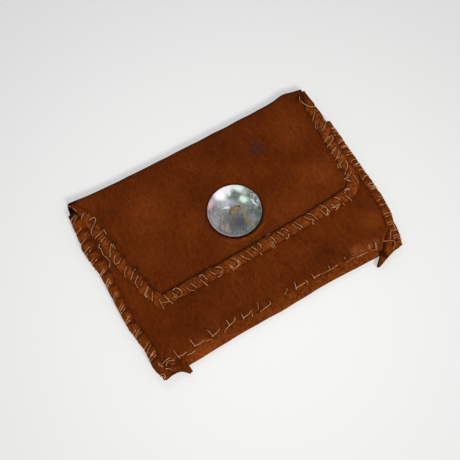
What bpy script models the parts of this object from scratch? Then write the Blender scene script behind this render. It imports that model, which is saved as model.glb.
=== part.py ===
"""A suede pouch that lies closed on its back.

One suede sheet makes the bottom lip, the back and the flap. It folds at the
bottom and at the top, and the flap's three free edges are hemmed to the outside.
A front panel laps over the lip. A side gusset, folded in like a bellows, joins
the back to the front panel at each side and turns over the panel's edge as a
binding. A shell button is tied to the flap by a thread through two holes.

X runs along the width, Y up to the top fold and Z out of the front. The origin
is on the flat underside of the back.
"""

import math

import bmesh
import bpy
from mathutils import Vector

MM = 0.001

# Suede
THICKNESS = 1.2 * MM
CLEARANCE = 0.3 * MM

# Body
HALF_WIDTH = 100.0 * MM
BODY_HEIGHT = 137.0 * MM
BOTTOM_FOLD_Y = -70.2 * MM
SEAM_LIFT = 0.8 * MM
SEAM_LIFT_WIDTH = 25.0 * MM
BACK_EDGE_INSET = 1.0 * MM

# Front panel and the lip that it laps over
PANEL_BOTTOM_RISE = 6.8 * MM
PANEL_LAP = 8.5 * MM
MOUTH_BELOW_TOP = 7.0 * MM

# Gussets
GUSSET_DEPTH = 22.0 * MM
GUSSET_EDGE_INSET = 1.5 * MM
GUSSET_STEP_LENGTH = 7.0 * MM
NOTCH_CLEARANCE = 1.5 * MM
BINDING_WIDTH = 6.2 * MM
STITCH_PITCH = 10.0 * MM
STITCH_PULL = 0.6 * MM
RIGHT_BINDING_BELOW_TOP = 34.5 * MM
FLAP_TO_BINDING = 0.6 * MM

# Flap
FLAP_LENGTH = 96.5 * MM
HEM_WIDTH = 7.6 * MM
HEM_START_WIDTH = 3.4 * MM
HEM_START_LENGTH = 12.0 * MM

# Button and its thread
BUTTON_X = 3.8 * MM
BUTTON_ABOVE_FLAP_EDGE = 35.9 * MM
BUTTON_DIAMETER = 38.1 * MM
BUTTON_THICKNESS = 2.0 * MM
BUTTON_EDGE = 1.1 * MM
BUTTON_HOLE_SPACING = 7.2 * MM
BUTTON_TURN = math.radians(14)
BULGE_FLAT_RADIUS = 7.0 * MM
BULGE_RADIUS = 34.0 * MM
LEG_RADIUS = 0.7 * MM
BAR_HALF_WIDTH = 1.7 * MM
BAR_HALF_THICKNESS = 0.4 * MM

# Edge shapes as (share of the way, distance in mm). The share runs from the bottom fold to the top
# fold for seams and the corner, down the flap for its sides, and from left to right for the rest.
LEFT_SEAM_INSETS = (
    (-0.024, 7.2), (0.005, 4.7), (0.04, 2.9), (0.15, 3.2), (0.21, 2.2), (0.30, 0.7),
    (0.60, 1.2), (0.675, -0.3), (0.75, -1.2), (0.80, -0.3), (0.95, 1.4), (1.0, 3.2),
)
RIGHT_SEAM_INSETS = (
    (-0.024, 8.4), (0.005, 6.6), (0.04, 4.6), (0.09, 3.3), (0.12, 3.2), (0.16, 1.5),
    (0.22, 0.5), (0.30, 0.3), (0.50, 1.2), (0.73, 2.2), (0.82, 3.8), (0.95, 6.2), (1.0, 6.4),
)
CORNER_CUT_INSETS = (
    (0.0, 22.3), (0.014, 21.3), (0.043, 18.3), (0.072, 14.3), (0.094, 10.3), (0.116, 5.3),
)
FLAP_LEFT_INSETS = (
    (0.0, 5.2), (0.06, 7.3), (0.17, 7.9), (0.33, 8.8), (0.47, 10.3), (0.565, 13.3), (0.67, 15.3),
    (0.775, 18.8), (0.87, 20.8), (0.955, 24.3), (1.0, 25.8),
)
FLAP_RIGHT_INSETS = (
    (0.0, 6.7), (0.22, 6.2), (0.33, 6.0), (0.42, 6.9), (0.54, 7.7), (0.75, 8.2), (1.0, 9.2),
)
FLAP_BOTTOM_RISES = (
    (0.0, 0.0), (0.15, 0.2), (0.45, 0.5), (0.57, 1.2), (0.69, 1.8), (0.81, 2.8),
    (0.93, 4.4), (0.97, 7.0), (1.0, 12.2),
)
PANEL_CORNER_DROPS = ((0.0, 8.6), (0.056, 7.6), (0.111, 0.6), (0.16, 0.0), (1.0, 0.0))
BOTTOM_FOLD_RISES = (
    (0.0, -0.6), (0.2, -0.5), (0.35, 0.0), (0.5, 0.0), (0.6, 0.9), (0.7, 1.3), (0.82, 0.9), (1.0, 0.0),
)
TOP_FOLD_RISES = (
    (0.0, 2.7), (0.1, 1.3), (0.23, 0.6), (0.5, 0.0), (0.75, 0.0), (0.88, 0.6), (0.93, 2.0),
    (0.97, 0.2), (1.0, -1.0),
)
# How far each gusset's end reaches past the bottom fold, from the seam (0) to its inner fold (1),
# and how far the tail there leans towards the middle.
LEFT_TAIL_REACH = ((0.0, 3.0), (0.55, 2.2), (0.8, 3.4), (1.0, 6.6))
RIGHT_TAIL_REACH = ((0.0, 0.9), (0.4, 1.4), (0.7, 4.0), (1.0, 5.2))
LEFT_TAIL_LEAN = 0.8 * MM
RIGHT_TAIL_LEAN = 4.0 * MM

# Mesh resolution
FOLD_STEPS = 6
HEM_STEPS = 4
INNER_COLUMNS = 16
BACK_ROWS = 12
FLAP_ROWS = 13
LEAF_STEPS = 4

# Values that follow from those above
PITCH = THICKNESS + CLEARANCE
TOP_FOLD_Y = BOTTOM_FOLD_Y + BODY_HEIGHT
PANEL_BOTTOM_Y = BOTTOM_FOLD_Y + PANEL_BOTTOM_RISE
LIP_TOP_Y = PANEL_BOTTOM_Y + PANEL_LAP
MOUTH_Y = TOP_FOLD_Y - MOUTH_BELOW_TOP
RIGHT_BINDING_TOP_Y = TOP_FOLD_Y - RIGHT_BINDING_BELOW_TOP
FLAP_BOTTOM_Y = TOP_FOLD_Y - FLAP_LENGTH
BUTTON_Y = FLAP_BOTTOM_Y + BUTTON_ABOVE_FLAP_EDGE
BUTTON_BULGE = 2 * BAR_HALF_THICKNESS + CLEARANCE
HOLE_RADIUS = LEG_RADIUS + CLEARANCE
BACK, GUSSET_LOW, GUSSET_HIGH, LIP, PANEL, FLAP, HEM = range(7)


def smooth_step(share):
    share = min(max(share, 0.0), 1.0)
    return share * share * (3 - 2 * share)


def lerp(start, end, share):
    return start + (end - start) * share


def curve_through(stations, share):
    """Distance in metres of the smooth curve through (share, millimetres) stations."""
    shares = [station[0] for station in stations]
    values = [station[1] for station in stations]
    last = len(stations) - 1
    if share <= shares[0]:
        return values[0] * MM
    if share >= shares[last]:
        return values[last] * MM
    left = max(k for k in range(last) if shares[k] <= share)

    def slope(k):
        before, after = max(k - 1, 0), min(k + 1, last)
        return (values[after] - values[before]) / (shares[after] - shares[before])

    span = shares[left + 1] - shares[left]
    t = (share - shares[left]) / span
    a, b = values[left], values[left + 1]
    m, n = slope(left) * span, slope(left + 1) * span
    cubic = (2 * t**3 - 3 * t**2 + 1) * a + (t**3 - 2 * t**2 + t) * m
    cubic += (3 * t**2 - 2 * t**3) * b + (t**3 - t**2) * n
    return cubic * MM


def height_share(y):
    return (y - BOTTOM_FOLD_Y) / BODY_HEIGHT


def layer_height(layer):
    """Height of a layer's middle surface above the flat part of the back."""
    return THICKNESS / 2 + layer * PITCH


def seam_lift(x):
    """How far every layer rises towards the thick side seams."""
    start = HALF_WIDTH - SEAM_LIFT_WIDTH
    return SEAM_LIFT * smooth_step((abs(x) - start) / SEAM_LIFT_WIDTH)


def button_bulge(x, y):
    """How far the flap rises over the thread under the button."""
    away = math.hypot(x - BUTTON_X, y - BUTTON_Y)
    return BUTTON_BULGE * (1 - smooth_step((away - BULGE_FLAT_RADIUS) / (BULGE_RADIUS - BULGE_FLAT_RADIUS)))


def stitch_pull(y):
    """How far the side seams' stitches pull them in: most at each stitch, nothing halfway to the next."""
    return STITCH_PULL * (0.5 + 0.5 * math.cos(2 * math.pi * (y - RIGHT_BINDING_TOP_Y) / STITCH_PITCH))


def seam_reach(side, y):
    """Distance from the middle to the outer face of a side seam; side is -1 at the left."""
    insets = LEFT_SEAM_INSETS if side < 0 else RIGHT_SEAM_INSETS
    return HALF_WIDTH - curve_through(insets, height_share(y)) - stitch_pull(y)


def flap_reach(side, y):
    """Distance from the middle to the flap's side edge."""
    insets = FLAP_LEFT_INSETS if side < 0 else FLAP_RIGHT_INSETS
    return HALF_WIDTH - curve_through(insets, (TOP_FOLD_Y - y) / FLAP_LENGTH)


def over_lip(y):
    """1 where the lip lies under the panel, falling to 0 above it."""
    return 1 - smooth_step((y - LIP_TOP_Y - CLEARANCE) / GUSSET_STEP_LENGTH)


def upper_leaf_height(y):
    return lerp(layer_height(LIP), layer_height(GUSSET_HIGH), over_lip(y))


def binding_radius(y):
    """Radius of the turn that the gusset makes over the panel's edge."""
    return (layer_height(FLAP) - upper_leaf_height(y)) / 2


def panel_reach(side, y):
    """Distance from the middle to the side edge of the panel or the lip."""
    reach = seam_reach(side, y) - binding_radius(y) - THICKNESS / 2
    share = height_share(y)
    if side > 0 and share < CORNER_CUT_INSETS[-1][0]:
        reach = min(reach, HALF_WIDTH - curve_through(CORNER_CUT_INSETS, share))
    return reach


def body_columns():
    """Shares across the body sheet, with one at each edge of the corner notches."""
    notch = (GUSSET_DEPTH + NOTCH_CLEARANCE) / (2 * HALF_WIDTH)
    inner = [lerp(notch, 1 - notch, k / INNER_COLUMNS) for k in range(INNER_COLUMNS + 1)]
    return [0.0, notch / 2] + inner + [1 - notch / 2, 1.0]


def back_x(share, y):
    left = -(seam_reach(-1, y) - BACK_EDGE_INSET)
    right = seam_reach(1, y) - BACK_EDGE_INSET
    return lerp(left, right, share)


def lip_x(share, y, columns):
    """Keeps the columns between the notches in line with the back, and fits the outer ones to the lip."""
    low, high = columns[2], columns[-3]
    if share < low:
        return lerp(-panel_reach(-1, y), back_x(low, BOTTOM_FOLD_Y), share / low)
    if share > high:
        return lerp(back_x(high, BOTTOM_FOLD_Y), panel_reach(1, y), (share - high) / (1 - high))
    return back_x(share, BOTTOM_FOLD_Y)


def bottom_turn(share):
    """(y of the centre, radius) of the bottom fold."""
    radius = (layer_height(LIP) - layer_height(BACK)) / 2
    rise = curve_through(BOTTOM_FOLD_RISES, share)
    return BOTTOM_FOLD_Y + rise + radius + THICKNESS / 2, radius


def top_turn(share):
    """(y of the centre, radius) of the top fold."""
    radius = (layer_height(FLAP) - layer_height(BACK)) / 2
    rise = curve_through(TOP_FOLD_RISES, share)
    return TOP_FOLD_Y + rise - radius - THICKNESS / 2, radius


def sheet_point(x, y, height):
    return Vector((x, y, height + seam_lift(x)))


def lip_rows(columns):
    rows = []
    for k in range(3):
        row = []
        for share in columns:
            y = lerp(LIP_TOP_Y, bottom_turn(share)[0], k / 3)
            row.append(sheet_point(lip_x(share, y, columns), y, layer_height(LIP)))
        rows.append(row)
    return rows


def bottom_fold_rows(columns):
    rows = []
    for k in range(FOLD_STEPS + 1):
        angle = math.pi * k / FOLD_STEPS
        row = []
        for share in columns:
            centre, radius = bottom_turn(share)
            y = centre - radius * math.sin(angle)
            x = lerp(lip_x(share, centre, columns), back_x(share, centre), k / FOLD_STEPS)
            row.append(sheet_point(x, y, layer_height(BACK) + radius * (1 + math.cos(angle))))
        rows.append(row)
    return rows


def back_rows(columns):
    rows = []
    for k in range(1, BACK_ROWS):
        row = []
        for share in columns:
            y = lerp(bottom_turn(share)[0], top_turn(share)[0], k / BACK_ROWS)
            row.append(sheet_point(back_x(share, y), y, layer_height(BACK)))
        rows.append(row)
    return rows


def flap_x(share, y):
    """The middle surface stops short of the flap's edge, where the hem turns over."""
    turn = PITCH / 2 + THICKNESS / 2
    return lerp(-(flap_reach(-1, y) - turn), flap_reach(1, y) - turn, share)


def top_fold_rows(columns):
    rows = []
    steps = FOLD_STEPS + 2
    for k in range(steps + 1):
        angle = math.pi * k / steps
        row = []
        for share in columns:
            centre, radius = top_turn(share)
            y = centre + radius * math.sin(angle)
            x = lerp(back_x(share, centre), flap_x(share, centre), smooth_step(k / steps))
            row.append(sheet_point(x, y, layer_height(BACK) + radius * (1 - math.cos(angle))))
        rows.append(row)
    return rows


def flap_height(x, y):
    return layer_height(FLAP) + seam_lift(x) + button_bulge(x, y)


def flap_rows(columns):
    rows = []
    turn = PITCH / 2 + THICKNESS / 2
    for k in range(1, FLAP_ROWS + 1):
        row = []
        for share in columns:
            bottom = FLAP_BOTTOM_Y + curve_through(FLAP_BOTTOM_RISES, share) + turn
            y = lerp(top_turn(share)[0], bottom, k / FLAP_ROWS)
            x = flap_x(share, y)
            row.append(Vector((x, y, flap_height(x, y))))
        rows.append(row)
    return rows


def mitred_normals(edge):
    """Outward directions in plan along an edge that runs down the left and up the right side."""
    normals = []
    for k, point in enumerate(edge):
        sides = []
        for a, b in ((k - 1, k), (k, k + 1)):
            if a < 0 or b >= len(edge):
                continue
            run = (edge[b] - edge[a]).to_2d().normalized()
            sides.append(Vector((run.y, -run.x)))
        mean = sum(sides, Vector((0, 0))).normalized()
        normals.append(mean / mean.dot(sides[0]))
    return normals


def hem_widths(edge):
    """The hem starts narrow at the top fold on both sides."""
    widths = []
    for point in edge:
        from_start = min((point - edge[0]).length, (point - edge[-1]).length)
        widths.append(lerp(HEM_START_WIDTH, HEM_WIDTH, smooth_step(from_start / HEM_START_LENGTH)))
    return widths


def hem_rows(edge):
    """Rows of the hem: half a turn outward and up, then back over the flap."""
    radius = PITCH / 2
    offsets = []
    for k in range(1, HEM_STEPS + 1):
        angle = math.pi * k / HEM_STEPS
        offsets.append((radius * math.sin(angle), 0.0, radius * (1 - math.cos(angle))))
    offsets += [(0.0, 0.5, 2 * radius), (0.0, 1.0, 2 * radius)]
    normals = mitred_normals(edge)
    widths = hem_widths(edge)
    rows = []
    for out, flat_share, up in offsets:
        row = []
        for point, normal, width in zip(edge, normals, widths):
            away = out - flat_share * (width - radius - THICKNESS / 2)
            x = point.x + normal.x * away
            y = point.y + normal.y * away
            row.append(Vector((x, y, flap_height(x, y) + up)))
        rows.append(row)
    return rows


def add_grid(mesh, rows, skip=None):
    """Adds rows of points as a sheet of quads and returns its rows of vertices."""
    made = [[mesh.verts.new(point) for point in row] for row in rows]
    join_rows(mesh, made, skip)
    return made


def join_rows(mesh, rows, skip=None):
    for k in range(len(rows) - 1):
        for j in range(len(rows[k]) - 1):
            if skip and skip(k, j):
                continue
            mesh.faces.new((rows[k][j], rows[k][j + 1], rows[k + 1][j + 1], rows[k + 1][j]))


def finish_sheet(name, mesh, collection, material):
    """Makes an object of an open sheet and thickens it to the suede's thickness."""
    loose = [vertex for vertex in mesh.verts if not vertex.link_faces]
    bmesh.ops.delete(mesh, geom=loose, context="VERTS")
    for face in mesh.faces:
        face.smooth = True
    data = bpy.data.meshes.new(name)
    mesh.to_mesh(data)
    mesh.free()
    sheet = bpy.data.objects.new(name, data)
    collection.objects.link(sheet)
    data.materials.append(material)
    solid = sheet.modifiers.new("Suede thickness", "SOLIDIFY")
    solid.thickness = THICKNESS
    solid.offset = 0
    solid.use_even_offset = True
    return sheet


def make_back_and_flap(collection, material):
    columns = body_columns()
    lip = lip_rows(columns)
    bottom_fold = bottom_fold_rows(columns)
    back = back_rows(columns)
    top_fold = top_fold_rows(columns)
    flap = flap_rows(columns)
    first_fold = len(lip)
    flap_start = len(lip) + len(bottom_fold) + len(back) + len(top_fold) - 1

    def in_corner_notch(row, column):
        in_fold = first_fold <= row < first_fold + FOLD_STEPS
        return in_fold and (column < 2 or column >= len(columns) - 3)

    mesh = bmesh.new()
    rows = add_grid(mesh, lip + bottom_fold + back + top_fold + flap, in_corner_notch)
    left_edge = [row[0] for row in rows[flap_start:]]
    right_edge = [row[-1] for row in rows[flap_start:]]
    edge = left_edge + rows[-1][1:-1] + right_edge[::-1]
    hem = [[mesh.verts.new(point) for point in row] for row in hem_rows([v.co for v in edge])]
    join_rows(mesh, [edge] + hem)
    bmesh.ops.recalc_face_normals(mesh, faces=mesh.faces)
    return finish_sheet("back_and_flap", mesh, collection, material)


def make_front_panel(collection, material):
    """The panel's lower left corner hangs down over the lip's end, and its first rows share that drop."""
    rows = []
    for row_number, height in enumerate(seam_heights()[1:]):
        row = []
        for k in range(INNER_COLUMNS + 3):
            share = k / (INNER_COLUMNS + 2)
            y = height - curve_through(PANEL_CORNER_DROPS, share) * max(0.0, 1 - row_number / 2)
            x = lerp(-panel_reach(-1, y), panel_reach(1, y), share)
            row.append(sheet_point(x, y, layer_height(PANEL)))
        rows.append(row)
    mesh = bmesh.new()
    add_grid(mesh, rows)
    return finish_sheet("front_panel", mesh, collection, material)


def gusset_profile(side, y):
    """Points (distance from the middle, height, closeness to the inner fold) across a gusset at one height."""
    reach = seam_reach(side, y)
    low, high, top = layer_height(GUSSET_LOW), upper_leaf_height(y), layer_height(FLAP)
    valley = (high - low) / 2
    turn = binding_radius(y)
    outer = reach - GUSSET_EDGE_INSET
    inner = reach - GUSSET_DEPTH + valley + THICKNESS / 2
    crest = reach - turn - THICKNESS / 2
    points = []
    for k in range(LEAF_STEPS + 1):
        points.append((lerp(outer, inner, k / LEAF_STEPS), low, k / LEAF_STEPS))
    for k in range(1, HEM_STEPS):
        angle = math.pi * k / HEM_STEPS
        points.append((inner - valley * math.sin(angle), low + valley * (1 - math.cos(angle)), 1.0))
    for k in range(LEAF_STEPS + 1):
        points.append((lerp(inner, crest, k / LEAF_STEPS), high, 1 - k / LEAF_STEPS))
    for k in range(1, FOLD_STEPS + 1):
        angle = math.pi * k / FOLD_STEPS
        points.append((crest + turn * math.sin(angle), high + turn * (1 - math.cos(angle)), 0.0))
    clear_of_flap = flap_reach(side, y) + FLAP_TO_BINDING if y > FLAP_BOTTOM_Y else 0.0
    lip_end = max(reach - BINDING_WIDTH, clear_of_flap)
    points.append((min(lip_end, crest - CLEARANCE), top, 0.0))
    return points


def seam_heights():
    """Heights of the gussets' rows, and from the second of the panel's.

    They lie close together over the lip. Above it, one lies at each stitch and one halfway to the next.
    """
    step_top = LIP_TOP_Y + GUSSET_STEP_LENGTH + CLEARANCE
    over_the_lip = [lerp(PANEL_BOTTOM_Y, LIP_TOP_Y, k / 3) for k in range(3)]
    step = [lerp(LIP_TOP_Y, step_top, k / 3) for k in range(4)]
    half_pitch = STITCH_PITCH / 2
    lowest = math.ceil((step_top + half_pitch / 2 - RIGHT_BINDING_TOP_Y) / half_pitch)
    highest = math.floor((MOUTH_Y - half_pitch / 2 - RIGHT_BINDING_TOP_Y) / half_pitch)
    stitched = [RIGHT_BINDING_TOP_Y + k * half_pitch for k in range(lowest, highest + 1)]
    return [BOTTOM_FOLD_Y] + over_the_lip + step + stitched + [MOUTH_Y]


def make_gusset(name, side, collection, material):
    heights = seam_heights()
    reaches = LEFT_TAIL_REACH if side < 0 else RIGHT_TAIL_REACH
    lean = LEFT_TAIL_LEAN if side < 0 else RIGHT_TAIL_LEAN
    rows = []
    end_row = []
    for away, height, inward in gusset_profile(side, BOTTOM_FOLD_Y - CLEARANCE):
        y = BOTTOM_FOLD_Y - curve_through(reaches, inward)
        x = side * (away - lean * smooth_step((inward - 0.4) / 0.6))
        end_row.append(sheet_point(x, y, height))
    rows.append(end_row)
    for y in heights:
        rows.append([sheet_point(side * away, y, height) for away, height, _ in gusset_profile(side, y)])
    leaf_columns = 2 * LEAF_STEPS + HEM_STEPS

    def above_binding(row, column):
        covered = side > 0 and row > 0 and heights[row - 1] > RIGHT_BINDING_TOP_Y - CLEARANCE
        return covered and column >= leaf_columns

    mesh = bmesh.new()
    add_grid(mesh, rows, above_binding)
    return finish_sheet(name, mesh, collection, material)


def make_hole_cutters(name, z, collection):
    """Two cylinders where the thread passes, centred at height z."""
    cutters = []
    for k, side in enumerate((-1, 1)):
        offset = side * BUTTON_HOLE_SPACING / 2
        place = Vector((BUTTON_X + offset * math.cos(BUTTON_TURN), BUTTON_Y + offset * math.sin(BUTTON_TURN), z))
        depth = max(BUTTON_THICKNESS, THICKNESS) + 2 * CLEARANCE
        bpy.ops.mesh.primitive_cylinder_add(vertices=16, radius=HOLE_RADIUS, depth=depth, location=place)
        cutter = bpy.context.object
        cutter.name = f"{name}_{k}"
        for owner in list(cutter.users_collection):
            owner.objects.unlink(cutter)
        collection.objects.link(cutter)
        cutter.hide_render = True
        cutter.display_type = "WIRE"
        cutters.append(cutter)
    return cutters


def cut(target, cutters):
    for cutter in cutters:
        hole = target.modifiers.new("Thread hole", "BOOLEAN")
        hole.operation = "DIFFERENCE"
        hole.object = cutter


def button_base():
    """Height of the button's underside."""
    return layer_height(FLAP) + THICKNESS / 2 + BUTTON_BULGE + CLEARANCE


def make_button(collection, material):
    """A turned disc, flat below and gently domed above, with a rounded edge."""
    radius = BUTTON_DIAMETER / 2
    round_off = BUTTON_EDGE / 2
    dome = BUTTON_THICKNESS - BUTTON_EDGE
    profile = []
    for k in range(6):
        r = (radius - round_off) * k / 5
        profile.append((r, BUTTON_THICKNESS - dome * (r / radius) ** 2))
    shoulder = profile[-1][1]
    middle = shoulder / 2
    for k in range(1, 6):
        angle = math.pi * k / 6
        profile.append((radius - round_off + round_off * math.sin(angle), middle + middle * math.cos(angle)))
    profile.append((radius - round_off, 0.0))
    profile.append((0.0, 0.0))
    mesh = bmesh.new()
    points = [mesh.verts.new((x, 0, z)) for x, z in profile]
    for a, b in zip(points, points[1:]):
        mesh.edges.new((a, b))
    data = bpy.data.meshes.new("shell_button")
    mesh.to_mesh(data)
    mesh.free()
    button = bpy.data.objects.new("shell_button", data)
    collection.objects.link(button)
    data.materials.append(material)
    button.location = (BUTTON_X, BUTTON_Y, button_base())
    turned = button.modifiers.new("Turned profile", "SCREW")
    turned.axis = "Z"
    turned.steps = turned.render_steps = 48
    turned.use_merge_vertices = True
    turned.merge_threshold = 1e-5
    turned.use_smooth_shade = True
    return button


def thread_sections():
    """(distance from the button's centre, height, half width, half thickness) round half the loop."""
    leg = BUTTON_HOLE_SPACING / 2
    top = button_base() + BUTTON_THICKNESS + CLEARANCE + BAR_HALF_THICKNESS
    bottom = layer_height(PANEL) + THICKNESS / 2 + CLEARANCE + BAR_HALF_THICKNESS
    turn = LEG_RADIUS
    return [
        (0.0, top, BAR_HALF_WIDTH, BAR_HALF_THICKNESS),
        (leg - 1.6 * turn, top, BAR_HALF_WIDTH * 0.9, BAR_HALF_THICKNESS),
        (leg - 0.35 * turn, top - 0.3 * turn, LEG_RADIUS * 1.1, LEG_RADIUS * 0.7),
        (leg, top - 1.2 * turn, LEG_RADIUS, LEG_RADIUS),
        (leg, bottom + 1.2 * turn, LEG_RADIUS, LEG_RADIUS),
        (leg - 0.35 * turn, bottom + 0.3 * turn, LEG_RADIUS * 1.1, LEG_RADIUS * 0.7),
        (leg - 1.6 * turn, bottom, BAR_HALF_WIDTH * 0.9, BAR_HALF_THICKNESS),
        (0.0, bottom, BAR_HALF_WIDTH, BAR_HALF_THICKNESS),
    ]


def make_button_thread(collection, material):
    """A loop of thread through both holes, lofted because its section flattens over the button."""
    half = thread_sections()
    loop = half + [(-away, z, wide, thick) for away, z, wide, thick in half[-2:0:-1]]
    along = Vector((math.cos(BUTTON_TURN), math.sin(BUTTON_TURN), 0))
    across = Vector((-along.y, along.x, 0))
    centre = Vector((BUTTON_X, BUTTON_Y, 0))
    spots = [centre + along * away + Vector((0, 0, z)) for away, z, _, _ in loop]
    mesh = bmesh.new()
    rings = []
    for k, (_, _, wide, thick) in enumerate(loop):
        run = (spots[(k + 1) % len(loop)] - spots[k - 1]).normalized()
        out = across.cross(run)
        ring = []
        for step in range(10):
            angle = 2 * math.pi * step / 10
            ring.append(mesh.verts.new(spots[k] + across * wide * math.cos(angle) + out * thick * math.sin(angle)))
        rings.append(ring)
    for k in range(len(rings)):
        ring, after = rings[k - 1], rings[k]
        for j in range(10):
            mesh.faces.new((ring[j - 1], ring[j], after[j], after[j - 1]))
    bmesh.ops.recalc_face_normals(mesh, faces=mesh.faces)
    for face in mesh.faces:
        face.smooth = True
    data = bpy.data.meshes.new("button_thread")
    mesh.to_mesh(data)
    mesh.free()
    thread = bpy.data.objects.new("button_thread", data)
    collection.objects.link(thread)
    data.materials.append(material)
    return thread


def make_material(name, colour, roughness):
    material = bpy.data.materials.new(name)
    material.use_nodes = True
    shader = material.node_tree.nodes["Principled BSDF"]
    shader.inputs["Base Color"].default_value = (*colour, 1)
    shader.inputs["Roughness"].default_value = roughness
    shader.inputs["Metallic"].default_value = 0
    material.diffuse_color = (*colour, 1)
    return material


def make_collection(name):
    collection = bpy.data.collections.new(name)
    bpy.context.scene.collection.children.link(collection)
    return collection


def main():
    for old in list(bpy.data.objects):
        bpy.data.objects.remove(old, do_unlink=True)
    parts = make_collection("suede_pouch")
    cutters = make_collection("cutters")
    suede = make_material("orange brown suede", (0.125, 0.022, 0.003), 0.95)
    shell = make_material("iridescent shell", (0.55, 0.55, 0.52), 0.15)
    thread = make_material("waxed thread", (0.58, 0.38, 0.15), 0.7)

    body = make_back_and_flap(parts, suede)
    make_front_panel(parts, suede)
    make_gusset("left_gusset", -1, parts, suede)
    make_gusset("right_gusset", 1, parts, suede)
    button = make_button(parts, shell)
    make_button_thread(parts, thread)

    flap_at_button = layer_height(FLAP) + BUTTON_BULGE
    cut(body, make_hole_cutters("flap_hole", flap_at_button, cutters))
    cut(button, make_hole_cutters("button_hole", button_base() + BUTTON_THICKNESS / 2, cutters))


main()
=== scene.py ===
"""The looks of the suede pouch: modelled suede sheets, hand stitches, a shell button and a plain studio."""

import math
import random

import bmesh
import bpy
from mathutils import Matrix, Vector, noise


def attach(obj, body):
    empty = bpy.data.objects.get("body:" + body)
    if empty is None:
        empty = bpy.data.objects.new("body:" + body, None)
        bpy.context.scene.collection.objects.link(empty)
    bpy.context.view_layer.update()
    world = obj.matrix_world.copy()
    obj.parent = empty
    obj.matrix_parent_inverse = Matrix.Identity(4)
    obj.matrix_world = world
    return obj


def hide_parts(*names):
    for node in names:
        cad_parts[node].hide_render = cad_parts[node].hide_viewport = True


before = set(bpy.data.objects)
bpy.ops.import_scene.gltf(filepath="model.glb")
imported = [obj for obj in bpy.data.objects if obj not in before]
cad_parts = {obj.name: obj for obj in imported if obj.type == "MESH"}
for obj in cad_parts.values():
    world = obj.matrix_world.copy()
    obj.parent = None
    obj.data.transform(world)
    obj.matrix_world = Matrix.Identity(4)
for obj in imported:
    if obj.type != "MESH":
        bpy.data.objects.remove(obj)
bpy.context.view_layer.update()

MM = 0.001
random.seed(29)

# Sizes, the same as in the CAD model
THICKNESS = 1.2 * MM
CLEARANCE = 0.3 * MM
HALF_WIDTH = 100.0 * MM
BODY_HEIGHT = 137.0 * MM
BOTTOM_FOLD_Y = -70.2 * MM
SEAM_LIFT = 0.8 * MM
SEAM_LIFT_WIDTH = 25.0 * MM
BACK_EDGE_INSET = 1.0 * MM
PANEL_BOTTOM_RISE = 6.8 * MM
PANEL_LAP = 8.5 * MM
MOUTH_BELOW_TOP = 7.0 * MM
GUSSET_DEPTH = 22.0 * MM
GUSSET_EDGE_INSET = 1.5 * MM
GUSSET_STEP_LENGTH = 7.0 * MM
RIGHT_BINDING_BELOW_TOP = 34.5 * MM
FLAP_LENGTH = 96.5 * MM
HEM_WIDTH = 7.6 * MM
BUTTON_X = 3.8 * MM
BUTTON_ABOVE_FLAP_EDGE = 35.9 * MM
BUTTON_DIAMETER = 38.1 * MM
BUTTON_THICKNESS = 2.0 * MM
BUTTON_EDGE = 1.1 * MM
BUTTON_HOLE_SPACING = 7.2 * MM
BUTTON_TURN = math.radians(14)
BULGE_FLAT_RADIUS = 7.0 * MM
BULGE_RADIUS = 34.0 * MM
LEG_RADIUS = 0.7 * MM
BAR_HALF_THICKNESS = 0.4 * MM

# Sizes that only this finer model has, or that differ a little from the CAD model's
LEFT_DEPTH_LOSS = 2.6 * MM
RIGHT_DEPTH_LOSS = 4.6 * MM
DEPTH_LOSS_HEIGHT = 22.0 * MM
NOTCH_CLEARANCE = 0.3 * MM
BINDING_WIDTH = 6.4 * MM
BINDING_WIDTH_TOP_LEFT = 8.6 * MM
FLAP_TO_BINDING = 0.4 * MM
HEM_START_WIDTH = 2.4 * MM
HEM_START_LENGTH = 15.0 * MM

# Edge shapes: (share of the way, distance in mm)
LEFT_SEAM_INSETS = (
    (-0.024, 7.2), (0.005, 4.7), (0.04, 2.9), (0.15, 3.2), (0.21, 2.2), (0.30, 0.7),
    (0.60, 1.2), (0.675, -0.3), (0.75, -1.2), (0.80, -0.3), (0.95, 1.4), (1.0, 3.2),
)
RIGHT_SEAM_INSETS = (
    (-0.024, 8.4), (0.005, 6.6), (0.04, 4.6), (0.09, 3.3), (0.12, 3.2), (0.16, 1.5),
    (0.22, 0.5), (0.30, 0.3), (0.50, 1.2), (0.73, 2.2), (0.82, 3.8), (0.95, 6.2), (1.0, 6.4),
)
CORNER_CUT_INSETS = (
    (0.0, 22.3), (0.014, 21.3), (0.043, 18.3), (0.072, 14.3), (0.094, 10.3), (0.116, 5.3),
)
FLAP_LEFT_INSETS = (
    (0.0, 4.6), (0.06, 7.6), (0.17, 9.0), (0.33, 10.6), (0.47, 11.6), (0.565, 13.6), (0.67, 15.6),
    (0.775, 18.8), (0.87, 20.8), (0.955, 24.3), (1.0, 25.8),
)
FLAP_RIGHT_INSETS = (
    (0.0, 6.7), (0.22, 6.2), (0.33, 6.0), (0.42, 6.9), (0.54, 7.7), (0.75, 8.2), (1.0, 9.2),
)
FLAP_BOTTOM_RISES = (
    (0.0, 0.0), (0.15, 0.2), (0.45, 0.5), (0.57, 1.2), (0.69, 1.8), (0.81, 2.8),
    (0.93, 4.4), (0.97, 7.0), (1.0, 12.2),
)
PANEL_CORNER_DROPS = ((0.0, 8.6), (0.056, 7.6), (0.111, 0.6), (0.16, 0.0), (1.0, 0.0))
BOTTOM_FOLD_RISES = (
    (0.0, -1.4), (0.1, -1.7), (0.2, -1.0), (0.35, 0.0), (0.5, 0.0), (0.6, 0.9), (0.7, 1.3), (0.82, 0.9),
    (1.0, 0.0),
)
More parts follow.
